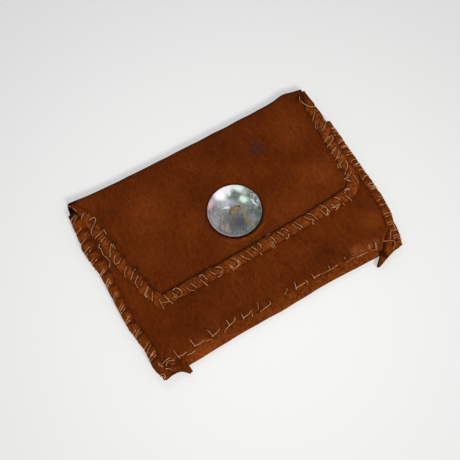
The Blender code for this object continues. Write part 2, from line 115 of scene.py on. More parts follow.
TOP_FOLD_RISES = (
    (0.0, 2.7), (0.1, 1.3), (0.23, 0.6), (0.5, 0.0), (0.75, 0.0), (0.88, 0.6), (0.93, 2.0),
    (0.97, 0.2), (1.0, -1.0),
)
LEFT_TAIL_REACH = (
    (0.0, 3.0), (0.42, 1.9), (0.68, 2.8), (0.82, 4.7), (0.91, 6.4), (0.97, 7.0), (1.0, 6.4),
)
RIGHT_TAIL_REACH = (
    (0.0, 0.9), (0.35, 1.4), (0.55, 2.6), (0.68, 3.8), (0.78, 4.9), (0.87, 5.8), (0.94, 6.2),
    (0.98, 6.1), (1.0, 5.7),
)
LEFT_TAIL_LEAN = 0.5 * MM
RIGHT_TAIL_LEAN = 6.0 * MM

# Steps of the meshes
FOLD_STEPS = 14
TOP_FOLD_STEPS = 18
HEM_STEPS = 8
HEM_FLAT_STEPS = 8
INNER_COLUMNS = 156
NOTCH_COLUMNS = 14
LIP_ROWS = 8
BACK_ROWS = 30
FLAP_ROWS = 88
LEAF_STEPS = 20
TAIL_ROWS = 7
SEAM_ROW_LENGTH = 0.9 * MM
BUTTON_STEPS = 128
BUTTON_FACE_RINGS = 24
BUTTON_EDGE_RINGS = 10
HOLE_STEPS = 32

# Threads
THREAD_RADIUS = 0.24 * MM
BUTTON_THREAD_RADIUS = 0.36 * MM
BUTTON_STRANDS = 5
THREAD_SIDES = 2
THREAD_STEPS = 4
STRAND_SPACING = 1.4 * MM
LEFT_STITCH_RISE = 4.6 * MM
RIGHT_STITCH_RISE = 2.2 * MM
LEFT_BACK_DROP_MM = 3
RIGHT_BACK_DROP_MM = 2
BURIED = 1.3 * MM

# The raw edges of the suede
EDGE_ROUNDING = 0.28 * MM
EDGE_ROUNDING_STEPS = 2

# Unevenness, as noises: (height in mm, scale, seed). The scale is per metre, or per share for the folds
# and the flap's lower edge.
SOFT_WAVES = ((0.42, 22, 3.1), (0.16, 70, 8.4))
CRUMPLE_WAVES = ((0.8, 170, 9.2),)
PANEL_EDGE_WAVES = ((0.25, 120, 5.7), (0.3, 45, 1.3))
BOTTOM_FOLD_WAVES = ((0.35, 14, 2.2),)
TOP_FOLD_WAVES = ((0.25, 17, 6.2),)
FLAP_LEFT_WAVES = ((0.5, 110, 9.1),)
FLAP_RIGHT_WAVES = ((0.4, 110, 4.6),)
FLAP_BOTTOM_WAVES = ((0.35, 17.1, 7.7),)
HEM_EDGE_WAVES = ((0.6, 150, 3.3),)
SEAM_WAVES = ((0.35, 130, 2.9),)

# Unevenness without a height: (scale per metre, seed)
HEM_LOBES = (230, 6.6)
BINDING_LOBES = (90, 7.1)
# How the rubbed wear and the painted highlight vary along the bindings' lobes
BINDING_RUB_AND_HIGHLIGHT = (260, 1.9)
THREAD_UNEVENNESS = (420, 2.0)

# The hem's lobes and the stitches that press it down
HEM_PUFF = 1.7 * MM
HEM_PRESS = 0.5 * MM
HEM_BULGE = 0.5 * MM
HEM_DRAW_IN = 1.0 * MM
HEM_PINCH_WIDTH = 1.25 * MM
HEM_BEGINS = 5 * MM
HEM_GROWS = 9 * MM
MITRE_SPREAD = 26 * MM
STRAND_NEAR_X = 14 * MM
STRAND_NEAR_Y = 18 * MM
# Painted shade where strands enter the flap
DIMPLE_REACH = 7 * MM
DIMPLE_RADIUS = 2.6 * MM

# The bindings between their stitches and at them
BINDING_PUFF_LEFT = 1.5 * MM
BINDING_PUFF_RIGHT = 1.1 * MM
BINDING_PINCH = 0.35 * MM
BINDING_WIDENS_BY = 25 * MM
SEAM_PINCH_LENGTH = 1.9 * MM
SEAM_DRAW_IN = 0.5 * MM
RIGHT_SEAM_DRAW_IN = 0.4 * MM

# The bottom seam's stitches
PANEL_EDGE_LIFT = 0.25 * MM
PANEL_PRESS = 0.35 * MM

# Where the seams gather at the lower left corner, and its creases
CORNER_LUMP = (-87.0 * MM, -66.5 * MM)
CORNER_LUMP_RADIUS = 8.5 * MM
CRUMPLE_HEIGHT = 2.2 * MM
CREASE_DEPTH = 1.3 * MM
CREASE_MIDDLE = (-6 * MM, -5 * MM)
CREASES_PER_RADIAN = 3.4
CREASE_SCALE = 90
CREASE_SEED = 4.4
CREASE_WIDTH = 0.22

# The rolled leaf at the lower right corner, as points in mm
LEAF_ROLL = ((92.0, -58.0), (87.0, -65.5), (76.0, -74.0))
LEAF_ROLL_HEIGHT = 3.4 * MM
LEAF_ROLL_WIDTH = 3.3 * MM
LEAF_ROLL_TOP_Y = -52 * MM

# The suede that the button pushes up along its lower edge, with a painted highlight; the painted shadow round
# the button is darkest on this side. Length and direction in radians
BUTTON_LIP_OFFSET = 2.2 * MM
BUTTON_LIP_HEIGHT = 0.55 * MM
BUTTON_LIP_WIDTH = 1.3 * MM
BUTTON_LIP_LENGTH = 0.75
BUTTON_LIP_DIRECTION = math.radians(-82)

# Camera, fitted to the photograph
PHOTO_WIDTH_PX = 460
FOCAL_PX = 1000
SENSOR_MM = 36.0
CAMERA_ELEVATION = math.radians(71.2)
CAMERA_TURN = math.radians(-29.5)
CAMERA_DISTANCE = 0.700
CAMERA_TARGET = Vector((-4.2, -1.5, 0.0)) * MM

# Lights: (name, azimuth and elevation in degrees, distance and size in metres, power, colour)
LIGHTS = (
    ("key", 27, 47, 2.0, 0.56, 25.8, (1.0, 0.955, 0.89)),
    ("window", 193, 65, 2.0, 0.25, 3.0, (0.9, 0.96, 1.0)),
)
SKY_COLOUR = (0.357, 0.402, 0.43)
SURROUND = (0.62, 0.625, 0.62)

# Floor, linear colours, and the middle of its painted pool of light, where it is brightest
FLOOR_SIZE = 6
FLOOR_BELOW = 0.6 * MM
FLOOR_LIGHT = (0.534, 0.527, 0.518)
FLOOR_DARK = (0.405, 0.401, 0.396)
FLOOR_LIGHT_POOL = (-12 * MM, -32 * MM)
FLOOR_FADE = 380 * MM
FLOOR_GLOW = 0.83

# Suede colours, linear
SUEDE_DARK = (0.088, 0.0150, 0.0020)
SUEDE_MIDDLE = (0.117, 0.0205, 0.0026)
SUEDE_LIGHT = (0.158, 0.0300, 0.0034)
# Rubbed wear, and painted highlights on lobes, ridges, the rolled leaf and the button's lip
SUEDE_RUB_AND_HIGHLIGHT = (0.290, 0.0640, 0.0095)
# Dark patches, and painted shade in pinches, creases, gaps, the opening and round the button
SUEDE_DARK_PATCH_AND_SHADE = (0.022, 0.0045, 0.0012)
SUEDE_PALE = (0.34, 0.105, 0.055)
STAIN = (0.050, 0.022, 0.016)

# Thread colours, linear: (light, dark)
SEAM_THREAD = ((0.72, 0.36, 0.165), (0.32, 0.125, 0.045))
GOLD_THREAD = ((0.54, 0.38, 0.18), (0.23, 0.15, 0.06))

# Patches of the suede in mm: (x, y, radius, strength)
LIGHT_PATCHES = (
    (-48, 38, 24, 0.5), (66, 41, 22, 0.42), (71, 1, 24, 0.55), (-12, -44, 26, 0.2), (84, -46, 12, 0.5),
    (-30, 12, 16, 0.22), (36, -10, 20, 0.3), (-60, 5, 16, 0.2), (30, -42, 14, 0.2), (64.5, -59.4, 8, 1.0),
    (74, -61, 7, 1.0), (-62, -70, 16, 0.9), (-8, -14, 22, 0.3), (-46, -10, 16, 0.2),
)
# The dark patches low on the front panel are painted shade of its slope down towards the bottom seam
DARK_PATCHES = (
    (16, 55, 18, 0.6), (-6, 30, 22, 0.3), (44, -50, 20, 0.6), (-62, -45, 20, 0.4), (84, -30, 14, 0.5),
)
PALE_PATCHES = (
    (61.5, -59.5, 5.0, 0.75), (66.0, -62.5, 4.0, 0.75), (71.5, -62.5, 3.5, 0.75),
    (78.5, -60.5, 4.0, 0.75),
)
STAIN_PATCHES = (
    (41.0, 40.5, 8.0, 0.6), (37.0, 38.0, 5.0, 0.35),
)

# The shell's pattern, in mm from its middle, in axes turned about Z
SHELL_TURN = math.radians(29.5)
SHELL_WARP = 5
SHELL_CLOUDS = (
    (0.30, (0.07, 0.075, 0.075)), (0.45, (0.12, 0.125, 0.12)), (0.58, (0.22, 0.22, 0.225)),
    (0.76, (0.44, 0.43, 0.44)),
)
WHITE = (1.0, 1.0, 1.0)
ARCS_MIDDLE = (-15.0, -6.5)

# Zones of the shell: (x, y, half width, half height, turn in degrees), then their strength and linear colour
ARCS_ZONE = (-9.5, -6.5, 5.5, 8.0, 20)
SPARKS_ZONE = (14.0, 10.0, 4.5, 9.0, 38)
SHELL_ZONES = (
    (0.0, -9.0, 19.0, 12.5, 0, 1.0, (0.070, 0.071, 0.072)),
    (4.5, -9.0, 6.0, 9.5, 10, 0.9, (0.045, 0.045, 0.052)),
    (-4.5, -7.5, 4.0, 6.5, 0, 0.6, (0.14, 0.135, 0.115)),
    (-6.5, -13.5, 7.0, 4.5, -35, 0.85, (0.36, 0.27, 0.24)),
    (-14.0, -7.0, 5.5, 8.0, 20, 0.7, (0.40, 0.38, 0.39)),
    (-10.5, -4.5, 4.0, 6.5, 0, 0.6, (0.20, 0.15, 0.135)),
    (-11.5, 3.0, 5.5, 7.0, -20, 0.9, (0.080, 0.074, 0.068)),
    (-17.2, 4.8, 3.6, 8.0, -10, 1.0, (0.74, 0.42, 0.48)),
    (-14.0, 8.8, 5.5, 2.0, -28, 0.75, (0.20, 0.10, 0.12)),
    (-6.0, -1.5, 4.5, 4.0, 0, 0.6, (0.185, 0.20, 0.185)),
    (-4.0, 5.5, 7.5, 4.0, -25, 0.85, (0.36, 0.35, 0.46)),
    (-1.0, 9.4, 5.0, 3.0, -15, 0.95, (0.075, 0.09, 0.07)),
    (1.5, 11.8, 4.0, 2.6, -40, 0.7, (0.16, 0.22, 0.15)),
    (9.5, 6.5, 5.0, 5.5, 0, 0.85, (0.22, 0.36, 0.30)),
    (6.5, 12.8, 3.6, 2.0, 0, 0.8, (0.62, 0.50, 0.38)),
    (10.5, 14.2, 5.0, 3.0, -35, 0.8, (0.24, 0.24, 0.215)),
    (16.0, 8.5, 3.4, 6.0, 20, 0.8, (0.30, 0.38, 0.38)),
    (13.5, -1.0, 6.5, 5.5, 0, 1.0, (0.088, 0.102, 0.078)),
    (17.0, -3.0, 3.6, 5.0, -10, 1.0, (0.050, 0.11, 0.080)),
    (12.8, -4.0, 2.8, 2.0, 0, 0.85, (0.26, 0.28, 0.32)),
    (6.6, 0.3, 2.8, 5.4, 23, 1.0, (0.24, 0.19, 0.06)),
    (9.3, -7.0, 2.6, 8.4, 21, 1.0, (0.22, 0.18, 0.055)),
    (7.5, -13.8, 4.5, 2.2, 15, 0.7, (0.10, 0.11, 0.15)),
    (12.5, -12.5, 2.6, 2.6, 0, 0.8, (0.16, 0.13, 0.06)),
)
# Pale zones of the shell; the white ones at the upper left and along the top and the green-white one are
# painted highlights, where it reflects light. The last zone is a dark crack
SHELL_PALE_ZONES_AND_HIGHLIGHTS = (
    (-10.0, 12.4, 8.4, 7.6, 30, 1.0, (0.99, 0.93, 0.96)),
    (-10.0, 11.5, 6.0, 6.8, 30, 1.0, (0.99, 0.95, 0.98)),
    (-5.0, 16.8, 14.0, 5.0, 14, 1.0, (0.99, 0.97, 0.98)),
    (2.8, 16.4, 8.0, 4.6, -12, 1.0, (0.88, 0.99, 0.94)),
    (-4.6, 13.4, 3.0, 4.8, 35, 0.95, (0.92, 0.91, 0.98)),
    (6.1, 8.0, 4.4, 4.8, 0, 1.0, (0.66, 0.96, 0.68)),
    (6.1, 7.8, 3.2, 3.6, 0, 1.0, (0.86, 0.99, 0.86)),
    (-5.8, 1.3, 2.6, 1.2, 12, 1.0, (0.88, 0.94, 0.76)),
    (-4.4, 2.2, 1.0, 1.6, -30, 0.8, (0.74, 0.78, 0.64)),
    (13.0, 6.2, 1.2, 5.8, 33, 1.0, (0.88, 0.89, 0.87)),
    (17.0, 1.2, 0.9, 3.4, 55, 0.9, (0.045, 0.03, 0.02)),
)

# Where the rim is warm: (x, y, radius)
RIM_ZONE = (-9.0, -7.0, 24.0)

# Heights in mm of the whip stitches along the side seams, and places of the bottom seam's stitches
LEFT_SEAM_STITCHES = (
    55.0, 45.5, 37.5, 29.5, 21.5, 11.0, 1.5, -9.0, -18.5, -28.0, -38.5, -49.0, -57.5,
)
RIGHT_SEAM_STITCHES = (
    24.5, 20.5, 14.0, 9.0, 3.5, -3.5, -7.0, -12.5, -17.5, -24.5, -28.0, -36.5, -41.0, -49.0, -56.0, -61.0,
    -65.5,
)
PANEL_STITCHES = (
    -79.0, -66.2, -52.5, -39.0, -28.2, -16.0, -7.5, 6.5, 13.5, 27.5, 40.3, 53.4, 76.7,
)

# Strands as points in mm in the plane of the pouch. Each lies on what is below it.
BOTTOM_STRANDS = (
    ((-79.8, -59.3), (-79.4, -62.5), (-78.7, -65.2)), ((-78.2, -64.3), (-75.5, -64.6), (-73, -63.9)),
    ((-72.8, -65.8), (-70, -66.1), (-67.4, -65.8)), ((-66.8, -57.9), (-66.3, -60.5), (-66, -63.1)),
    ((-66, -63.1), (-62.5, -63.3), (-58.5, -62.8)), ((-57.2, -64.3), (-54.7, -64.4)),
    ((-53.2, -58.3), (-52.2, -63.2)), ((-52.2, -63.2), (-47.4, -62), (-46.1, -61.1)),
    ((-39, -58.4), (-38.9, -62)), ((-43.5, -64.2), (-39, -62.3), (-35.1, -61.5), (-33.2, -59.5)),
    ((-28.1, -59.3), (-28.2, -62.5)), ((-28.2, -62.5), (-23.7, -61.8), (-21.2, -60.5)),
    ((-22.2, -62.2), (-21.9, -64.1)), ((-15, -58.3), (-16.3, -62)),
    ((-15.4, -63.8), (-8, -63.1), (-7.4, -61.3)), ((4.5, -61.8), (7, -60.5), (7.3, -59.3)),
    ((14.1, -58.2), (13.2, -62)), ((13.2, -62), (20.3, -61.9)), ((21.7, -60.7), (21.9, -62.1)),
    ((27.5, -59), (27.6, -61.7)), ((27.6, -61.7), (33.6, -61.7)), ((40.4, -59.3), (40.2, -61.1)),
    ((35, -62.3), (39, -62.3), (46.4, -61.9)), ((53.1, -59.6), (53.6, -62.5)),
    ((53.5, -62.7), (58.8, -62.5)), ((61.1, -63.4), (64.6, -63.5), (69, -63.7)),
    ((72.3, -64.2), (75.7, -65.2)), ((77.2, -61), (76.6, -63.9)),
)
HEM_BOTTOM_STRANDS = (
    ((-67.5, -23), (-66.5, -27), (-65, -30)), ((-71, -27), (-68.5, -28), (-66.5, -28.5)),
    ((-71.5, -24), (-72, -27.5), (-72, -30)), ((-62, -24.5), (-60, -28)),
    ((-60.5, -23), (-58, -22.5), (-56, -26), (-57, -29), (-59.5, -29)),
    ((-52, -25.5), (-50.5, -28.5), (-48, -29.5)), ((-48, -24.5), (-47, -26.5), (-46, -28.5)),
    ((-40, -22.5), (-38, -23.5), (-37, -27.5)), ((-41, -25), (-40, -28), (-38.5, -30.5)),
    ((-32.5, -24), (-30.5, -27), (-28.5, -29.5), (-25, -28.5)),
    ((-27.5, -23), (-25, -24.5), (-24, -26.5)),
    ((-15.5, -22.5), (-14, -24), (-12.5, -28.5), (-16, -29.5)), ((-19, -26), (-17.5, -28), (-16.5, -30)),
    ((-8.5, -24), (-7, -27), (-5, -29)), ((-5.5, -21.5), (-3.5, -23.5), (-2.5, -26.5), (-1.5, -28.5)),
    ((1, -22.5), (3, -26.5), (4.5, -29.5)), ((3.5, -21.5), (6.5, -23), (6.5, -26)),
    ((13.5, -20.5), (17, -20)), ((16, -23), (17, -25), (17, -27.5)),
    ((14, -25), (14.5, -28), (15.5, -29.5)), ((22, -22), (24, -25.5), (25.5, -29), (28, -27)),
    ((25.5, -21.5), (27.5, -22.5), (28.5, -25)), ((33.5, -22), (34.5, -25), (36.5, -27.5)),
    ((36, -21.5), (37.5, -25), (38.5, -27)), ((43.5, -21.5), (45.5, -24.5), (47, -28)),
    ((47, -20.5), (49, -22.5), (50.5, -27)), ((57.5, -19.5), (60, -22), (60.5, -26.5)),
    ((56, -23), (57, -26), (58.5, -27.5), (60, -25)), ((69.5, -19.5), (71.5, -22), (73, -26.5)),
    ((64.5, -22.5), (66, -25), (70, -25.5), (67, -26.5)), ((76.5, -21.5), (77.5, -24), (79, -26.5)),
    ((77.5, -20), (79.5, -19), (81.5, -20)),
)
HEM_LEFT_STRANDS = (
    ((-88.4, 55.6), (-90.6, 53.9), (-92.2, 51.2), (-91.9, 49.2)),
    ((-86.5, 49.5), (-83.5, 50), (-83.5, 47), (-89, 42.5), (-90, 41), (-90, 39)),
    ((-89, 36), (-84.5, 37.5), (-81.5, 38.5), (-81.5, 35.5)),
    ((-83.5, 33), (-86.5, 32), (-90, 30), (-89.5, 28)),
    ((-89.5, 27), (-90, 23.5), (-88.5, 19), (-88.5, 16), (-90.5, 13.5)), ((-80.5, 26.5), (-81, 23)),
    ((-82, 26.5), (-84, 24), (-86.5, 19.5)), ((-83, 18), (-85.5, 15.5), (-86, 12.5), (-84, 12.5)),
    ((-79.5, 15.5), (-81.5, 14), (-83.5, 12)), ((-80, 7), (-83, 4.5), (-84, 2)),
    ((-76, 3), (-78.5, 1), (-81.5, -2)), ((-76.5, -2.5), (-80, -5.5), (-80.5, -9)),
    ((-74, -6.5), (-76, -7.5), (-77.5, -9)), ((-74, -12.5), (-77.5, -15), (-79, -16.5), (-78.5, -18)),
    ((-72, -15.5), (-74, -18.5), (-76, -22)),
)
HEM_RIGHT_STRANDS = (
    ((87.5, 59), (86.5, 56), (88, 52), (90, 48.5), (92.5, 47)), ((92, 44.5), (90, 42), (87, 39)),
    ((90.5, 36.5), (87.5, 34.5), (86.5, 31.5)), ((93, 35), (93.5, 32.5), (91.5, 30.5), (88, 28.5)),
    ((93, 22.5), (88.5, 22), (85.5, 20.5)), ((92, 21), (91.5, 19), (88, 17), (85.5, 16)),
    ((90, 12.5), (87, 11.5), (84.5, 10.5)), ((90.5, 9.5), (88, 6.5), (85, 4.5)),
    ((88.5, 1), (85.5, 0), (85, -2.5)), ((90.5, 0), (90, -3.5), (87, -6), (85, -8)),
    ((89.5, -9), (86.5, -11), (84, -12), (85.5, -15)), ((89.5, -11), (89.5, -14), (89.5, -18)),
)
CORNER_STRANDS = (
    ((-91.6, -64.9), (-89.3, -63.2), (-86.9, -62.6), (-84.7, -62.6)),
    ((-88.8, -65.7), (-87.3, -64.3), (-85.4, -64.3), (-83.1, -65)),
    ((-92.9, -63.3), (-92.2, -65.1), (-91.3, -65.9)), ((-90, -68), (-87.6, -69.4)),
    ((-94.2, -69.7), (-92.9, -70.4), (-92.8, -72.1)), ((-95.5, -70.3), (-94, -71.4), (-93.8, -72.9)),
    ((-92.6, -62.4), (-92.9, -63.9)), ((-96.2, -52.4), (-93.9, -50.1), (-91.5, -48.7)),
    ((-94.3, -54.9), (-92.1, -53.9), (-91, -53.7)),
    ((83, -63.2), (85.3, -63.9), (88.1, -66.1), (87.9, -68.6), (85.9, -70.6)),
    ((90.2, -59.6), (87.8, -63.4)), ((92.2, -66.5), (93.8, -67.6)), ((91.5, -69.2), (92.5, -70.5)),
    ((94.5, -56), (94.1, -58.9)), ((77, -60.8), (75.8, -63.9)), ((72.3, -60.1), (71.6, -62.3)),
    ((-95.1, 66.4), (-93.3, 63.9), (-91.9, 59.5)), ((-98, 52.8), (-95.8, 55), (-93.4, 56.2)),
)
HEM_STRANDS = HEM_BOTTOM_STRANDS + HEM_LEFT_STRANDS + HEM_RIGHT_STRANDS

PITCH = THICKNESS + CLEARANCE
TURN_OVER = PITCH / 2 + THICKNESS / 2
TOP_FOLD_Y = BOTTOM_FOLD_Y + BODY_HEIGHT
PANEL_BOTTOM_Y = BOTTOM_FOLD_Y + PANEL_BOTTOM_RISE
LIP_TOP_Y = PANEL_BOTTOM_Y + PANEL_LAP
MOUTH_Y = TOP_FOLD_Y - MOUTH_BELOW_TOP
FLAP_BOTTOM_Y = TOP_FOLD_Y - FLAP_LENGTH
RIGHT_BINDING_TOP_Y = TOP_FOLD_Y - RIGHT_BINDING_BELOW_TOP
BUTTON_Y = FLAP_BOTTOM_Y + BUTTON_ABOVE_FLAP_EDGE
BUTTON_BULGE = 2 * BAR_HALF_THICKNESS + CLEARANCE
BINDING_START = 2 * LEAF_STEPS + HEM_STEPS
BACK, GUSSET_LOW, GUSSET_HIGH, LIP, PANEL, FLAP, HEM = range(7)


def smooth_step(share):
    share = min(max(share, 0.0), 1.0)
    return share * share * (3 - 2 * share)


def lerp(start, end, share):
    return start + (end - start) * share


def bump(distance, width):
    """A smooth bell, 1 at no distance."""
    return math.exp(-((distance / width) ** 2))


def crown_across(share):
    """The height of a puffed band across its width, from 0 to 1."""
    return math.sin(math.pi * min(1.0, share * 0.85 + 0.1))


def wander(x, y, scale, seed):
    """Smooth noise from -1 to 1 with features about 1 / scale metres across."""
    return noise.noise(Vector((x * scale + seed, y * scale - seed, seed)))


def waves(x, y, rows):
    """The sum of the noises in rows, in metres."""
    return sum(height * MM * wander(x, y, scale, seed) for height, scale, seed in rows)


def curve_through(stations, share):
    """Distance in metres of the smooth curve through (share, millimetres) stations."""
    last = len(stations) - 1
    if share <= stations[0][0]:
        return stations[0][1] * MM
    if share >= stations[last][0]:
        return stations[last][1] * MM
    left = max(k for k in range(last) if stations[k][0] <= share)

    def slope(k):
        before, after = stations[max(k - 1, 0)], stations[min(k + 1, last)]
        return (after[1] - before[1]) / (after[0] - before[0])

    span = stations[left + 1][0] - stations[left][0]
    t = (share - stations[left][0]) / span
    a, b = stations[left][1], stations[left + 1][1]
    m, n = slope(left) * span, slope(left + 1) * span
    cubic = (2 * t**3 - 3 * t**2 + 1) * a + (t**3 - 2 * t**2 + t) * m
    cubic += (3 * t**2 - 2 * t**3) * b + (t**3 - t**2) * n
    return cubic * MM


def height_share(y):
    return (y - BOTTOM_FOLD_Y) / BODY_HEIGHT


def layer_height(layer):
    return THICKNESS / 2 + layer * PITCH


def seam_lift(x):
    start = HALF_WIDTH - SEAM_LIFT_WIDTH
    return SEAM_LIFT * smooth_step((abs(x) - start) / SEAM_LIFT_WIDTH)


def button_bulge(x, y):
    away = math.hypot(x - BUTTON_X, y - BUTTON_Y)
    return BUTTON_BULGE * (1 - smooth_step((away - BULGE_FLAT_RADIUS) / (BULGE_RADIUS - BULGE_FLAT_RADIUS)))


def seam_reach(side, y):
    insets = LEFT_SEAM_INSETS if side < 0 else RIGHT_SEAM_INSETS
    return HALF_WIDTH - curve_through(insets, height_share(y))


def flap_reach(side, y):
    insets = FLAP_LEFT_INSETS if side < 0 else FLAP_RIGHT_INSETS
    return HALF_WIDTH - curve_through(insets, (TOP_FOLD_Y - y) / FLAP_LENGTH)


def upper_leaf_height(y):
    over_lip = 1 - smooth_step((y - LIP_TOP_Y - CLEARANCE) / GUSSET_STEP_LENGTH)
    return lerp(layer_height(LIP), layer_height(GUSSET_HIGH), over_lip)


def gusset_depth(side, y):
    """How far a gusset is folded in: less near the bottom, where its end sits closer to the seam."""
    loss = LEFT_DEPTH_LOSS if side < 0 else RIGHT_DEPTH_LOSS
    return GUSSET_DEPTH - loss * (1 - smooth_step((y - BOTTOM_FOLD_Y) / DEPTH_LOSS_HEIGHT))


def binding_radius(y):
    return (layer_height(FLAP) - upper_leaf_height(y)) / 2


def seam_crest(side, y):
    """Distance from the middle to where a binding starts to turn over the panel's edge."""
    return seam_reach(side, y) - binding_radius(y) - THICKNESS / 2


def panel_reach(side, y):
    reach = seam_crest(side, y)
    share = height_share(y)
    if side > 0 and share < CORNER_CUT_INSETS[-1][0]:
        reach = min(reach, HALF_WIDTH - curve_through(CORNER_CUT_INSETS, share))
    return reach


def lip_end(side, y):
    """Distance from the middle to the binding's inner edge. The left binding is wider near the top."""
    clear_of_flap = flap_reach(side, y) + FLAP_TO_BINDING if y > FLAP_BOTTOM_Y else 0.0
    width = BINDING_WIDTH
    if side < 0:
        width = lerp(BINDING_WIDTH, BINDING_WIDTH_TOP_LEFT, smooth_step(y / BINDING_WIDENS_BY))
    return min(max(seam_reach(side, y) - width, clear_of_flap), seam_crest(side, y) - CLEARANCE)


def seam_pinch(side, y):
    """How hard the nearest stitch pulls the seam in, from 0 to 1."""
    stitches = LEFT_SEAM_STITCHES if side < 0 else RIGHT_SEAM_STITCHES
    return max(bump(y - stitch * MM, SEAM_PINCH_LENGTH) for stitch in stitches)


def distance_to_run(x, y, run):
    """Distance in plan from a point in metres to a run of points in millimetres."""
    nearest = 1.0
    for (x0, y0), (x1, y1) in zip(run, run[1:]):
        dx, dy = (x1 - x0) * MM, (y1 - y0) * MM
        share = ((x - x0 * MM) * dx + (y - y0 * MM) * dy) / (dx * dx + dy * dy)
        share = min(max(share, 0.0), 1.0)
        nearest = min(nearest, math.hypot(x - x0 * MM - dx * share, y - y0 * MM - dy * share))
    return nearest


def hem_pinch(x, y):
    """How hard the nearest strand presses the hem down, from 0 to 1."""
    near = [strand for strand in HEM_STRANDS if abs(x - strand[0][0] * MM) < STRAND_NEAR_X
            and abs(y - strand[0][1] * MM) < STRAND_NEAR_Y]
    return max((bump(distance_to_run(x, y, strand), HEM_PINCH_WIDTH) for strand in near), default=0.0)


def hem_dimple_shade(x, y):
    """How strongly painted shade darkens the flap where a strand enters it, beside the hem, from 0 to 1."""
    starts = [math.hypot(x - strand[0][0] * MM, y - strand[0][1] * MM) for strand in HEM_STRANDS]
    return max((bump(away, DIMPLE_RADIUS) for away in starts if away < DIMPLE_REACH), default=0.0)


def near_lump(x, y):
    """How near a point is to the gathered lower left corner, from 0 to 1."""
    return bump(math.hypot(x - CORNER_LUMP[0], y - CORNER_LUMP[1]), CORNER_LUMP_RADIUS)


def crease(x, y):
    """Creases that run out of the gathered corner: 1 in a valley, 0 on a ridge."""
    x, y = x - CORNER_LUMP[0], y - CORNER_LUMP[1]
    turn = math.atan2(y - CREASE_MIDDLE[1], x - CREASE_MIDDLE[0])
    rays = noise.noise(Vector((turn * CREASES_PER_RADIAN, math.hypot(x, y) * CREASE_SCALE, CREASE_SEED)))
    return 1 - smooth_step(abs(rays) / CREASE_WIDTH)


def crumple(x, y):
    """How much the gathered lower left corner stands up, in metres."""
    return near_lump(x, y) * (CRUMPLE_HEIGHT + waves(x, y, CRUMPLE_WAVES) - CREASE_DEPTH * crease(x, y))


def sag(x, y, layer):
    """The soft unevenness that every layer above the back shares."""
    share = min(layer, PANEL) / PANEL
    return share * waves(x, y, SOFT_WAVES) + share**3 * crumple(x, y)


def sheet_point(x, y, height, layer):
    return (x, y, height + seam_lift(x) + sag(x, y, layer))


def body_columns():
    left = (gusset_depth(-1, BOTTOM_FOLD_Y) + NOTCH_CLEARANCE) / (2 * HALF_WIDTH)
    right = (gusset_depth(1, BOTTOM_FOLD_Y) + NOTCH_CLEARANCE) / (2 * HALF_WIDTH)
    inner = [lerp(left, 1 - right, k / INNER_COLUMNS) for k in range(INNER_COLUMNS + 1)]
    steps = [k / NOTCH_COLUMNS for k in range(NOTCH_COLUMNS)]
    return [left * step for step in steps] + inner + [1 - right * step for step in reversed(steps)]


COLUMNS = body_columns()


def back_x(share, y):
    left_pinch = SEAM_DRAW_IN * seam_pinch(-1, y + LEFT_BACK_DROP_MM * MM)
    right_pinch = RIGHT_SEAM_DRAW_IN * seam_pinch(1, y + RIGHT_BACK_DROP_MM * MM)
    left = -(seam_reach(-1, y) - BACK_EDGE_INSET - left_pinch)
    right = seam_reach(1, y) - BACK_EDGE_INSET - right_pinch
    return lerp(left, right, share)


def lip_x(share, y):
    low, high = COLUMNS[NOTCH_COLUMNS], COLUMNS[-NOTCH_COLUMNS - 1]
    if share < low:
        return lerp(-panel_reach(-1, y), back_x(low, BOTTOM_FOLD_Y), share / low)
    if share > high:
        return lerp(back_x(high, BOTTOM_FOLD_Y), panel_reach(1, y), (share - high) / (1 - high))
    return back_x(share, BOTTOM_FOLD_Y)


def bottom_turn(share):
    """The bottom fold's centre line and its radius."""
    radius = (layer_height(LIP) - layer_height(BACK)) / 2
    rise = curve_through(BOTTOM_FOLD_RISES, share) + waves(share, 0, BOTTOM_FOLD_WAVES)
    return BOTTOM_FOLD_Y + rise + radius + THICKNESS / 2, radius


def top_turn(share):
    """The top fold's centre line and its radius."""
    radius = (layer_height(FLAP) - layer_height(BACK)) / 2
    rise = curve_through(TOP_FOLD_RISES, share) + waves(share, 0, TOP_FOLD_WAVES)
    return TOP_FOLD_Y + rise - radius - THICKNESS / 2, radius


def flap_x(share, y):
    left = flap_reach(-1, y) - TURN_OVER + waves(0, y, FLAP_LEFT_WAVES)
    right = flap_reach(1, y) - TURN_OVER + waves(0, y, FLAP_RIGHT_WAVES)
    return lerp(-left, right, share)


def flap_height(x, y):
    return layer_height(FLAP) + seam_lift(x) + button_bulge(x, y) + sag(x, y, FLAP)


def lip_point(share, part):
    """The lip, from its free edge (part 0) to the bottom fold (part 1)."""
    y = lerp(LIP_TOP_Y, bottom_turn(share)[0], part)
    return sheet_point(lip_x(share, y), y, layer_height(LIP), LIP)


def bottom_fold_point(share, part):
    """Round the bottom fold, from the lip (part 0) to the back (part 1)."""
    centre, radius = bottom_turn(share)
    y = centre - radius * math.sin(math.pi * part)
    x = lerp(lip_x(share, centre), back_x(share, centre), part)
    height = layer_height(BACK) + radius * (1 + math.cos(math.pi * part))
    return sheet_point(x, y, height, LIP * (1 - part))


def back_point(share, part):
    """The back, from the bottom fold (part 0) to the top fold (part 1)."""
    y = lerp(bottom_turn(share)[0], top_turn(share)[0], part)
    return sheet_point(back_x(share, y), y, layer_height(BACK), BACK)


def top_fold_point(share, part):
    """Round the top fold, from the back (part 0) to the flap (part 1)."""
    centre, radius = top_turn(share)
    y = centre + radius * math.sin(math.pi * part)
    x = lerp(back_x(share, centre), flap_x(share, centre), smooth_step(part))
    height = layer_height(BACK) + radius * (1 - math.cos(math.pi * part))
    return sheet_point(x, y, height, FLAP * part)


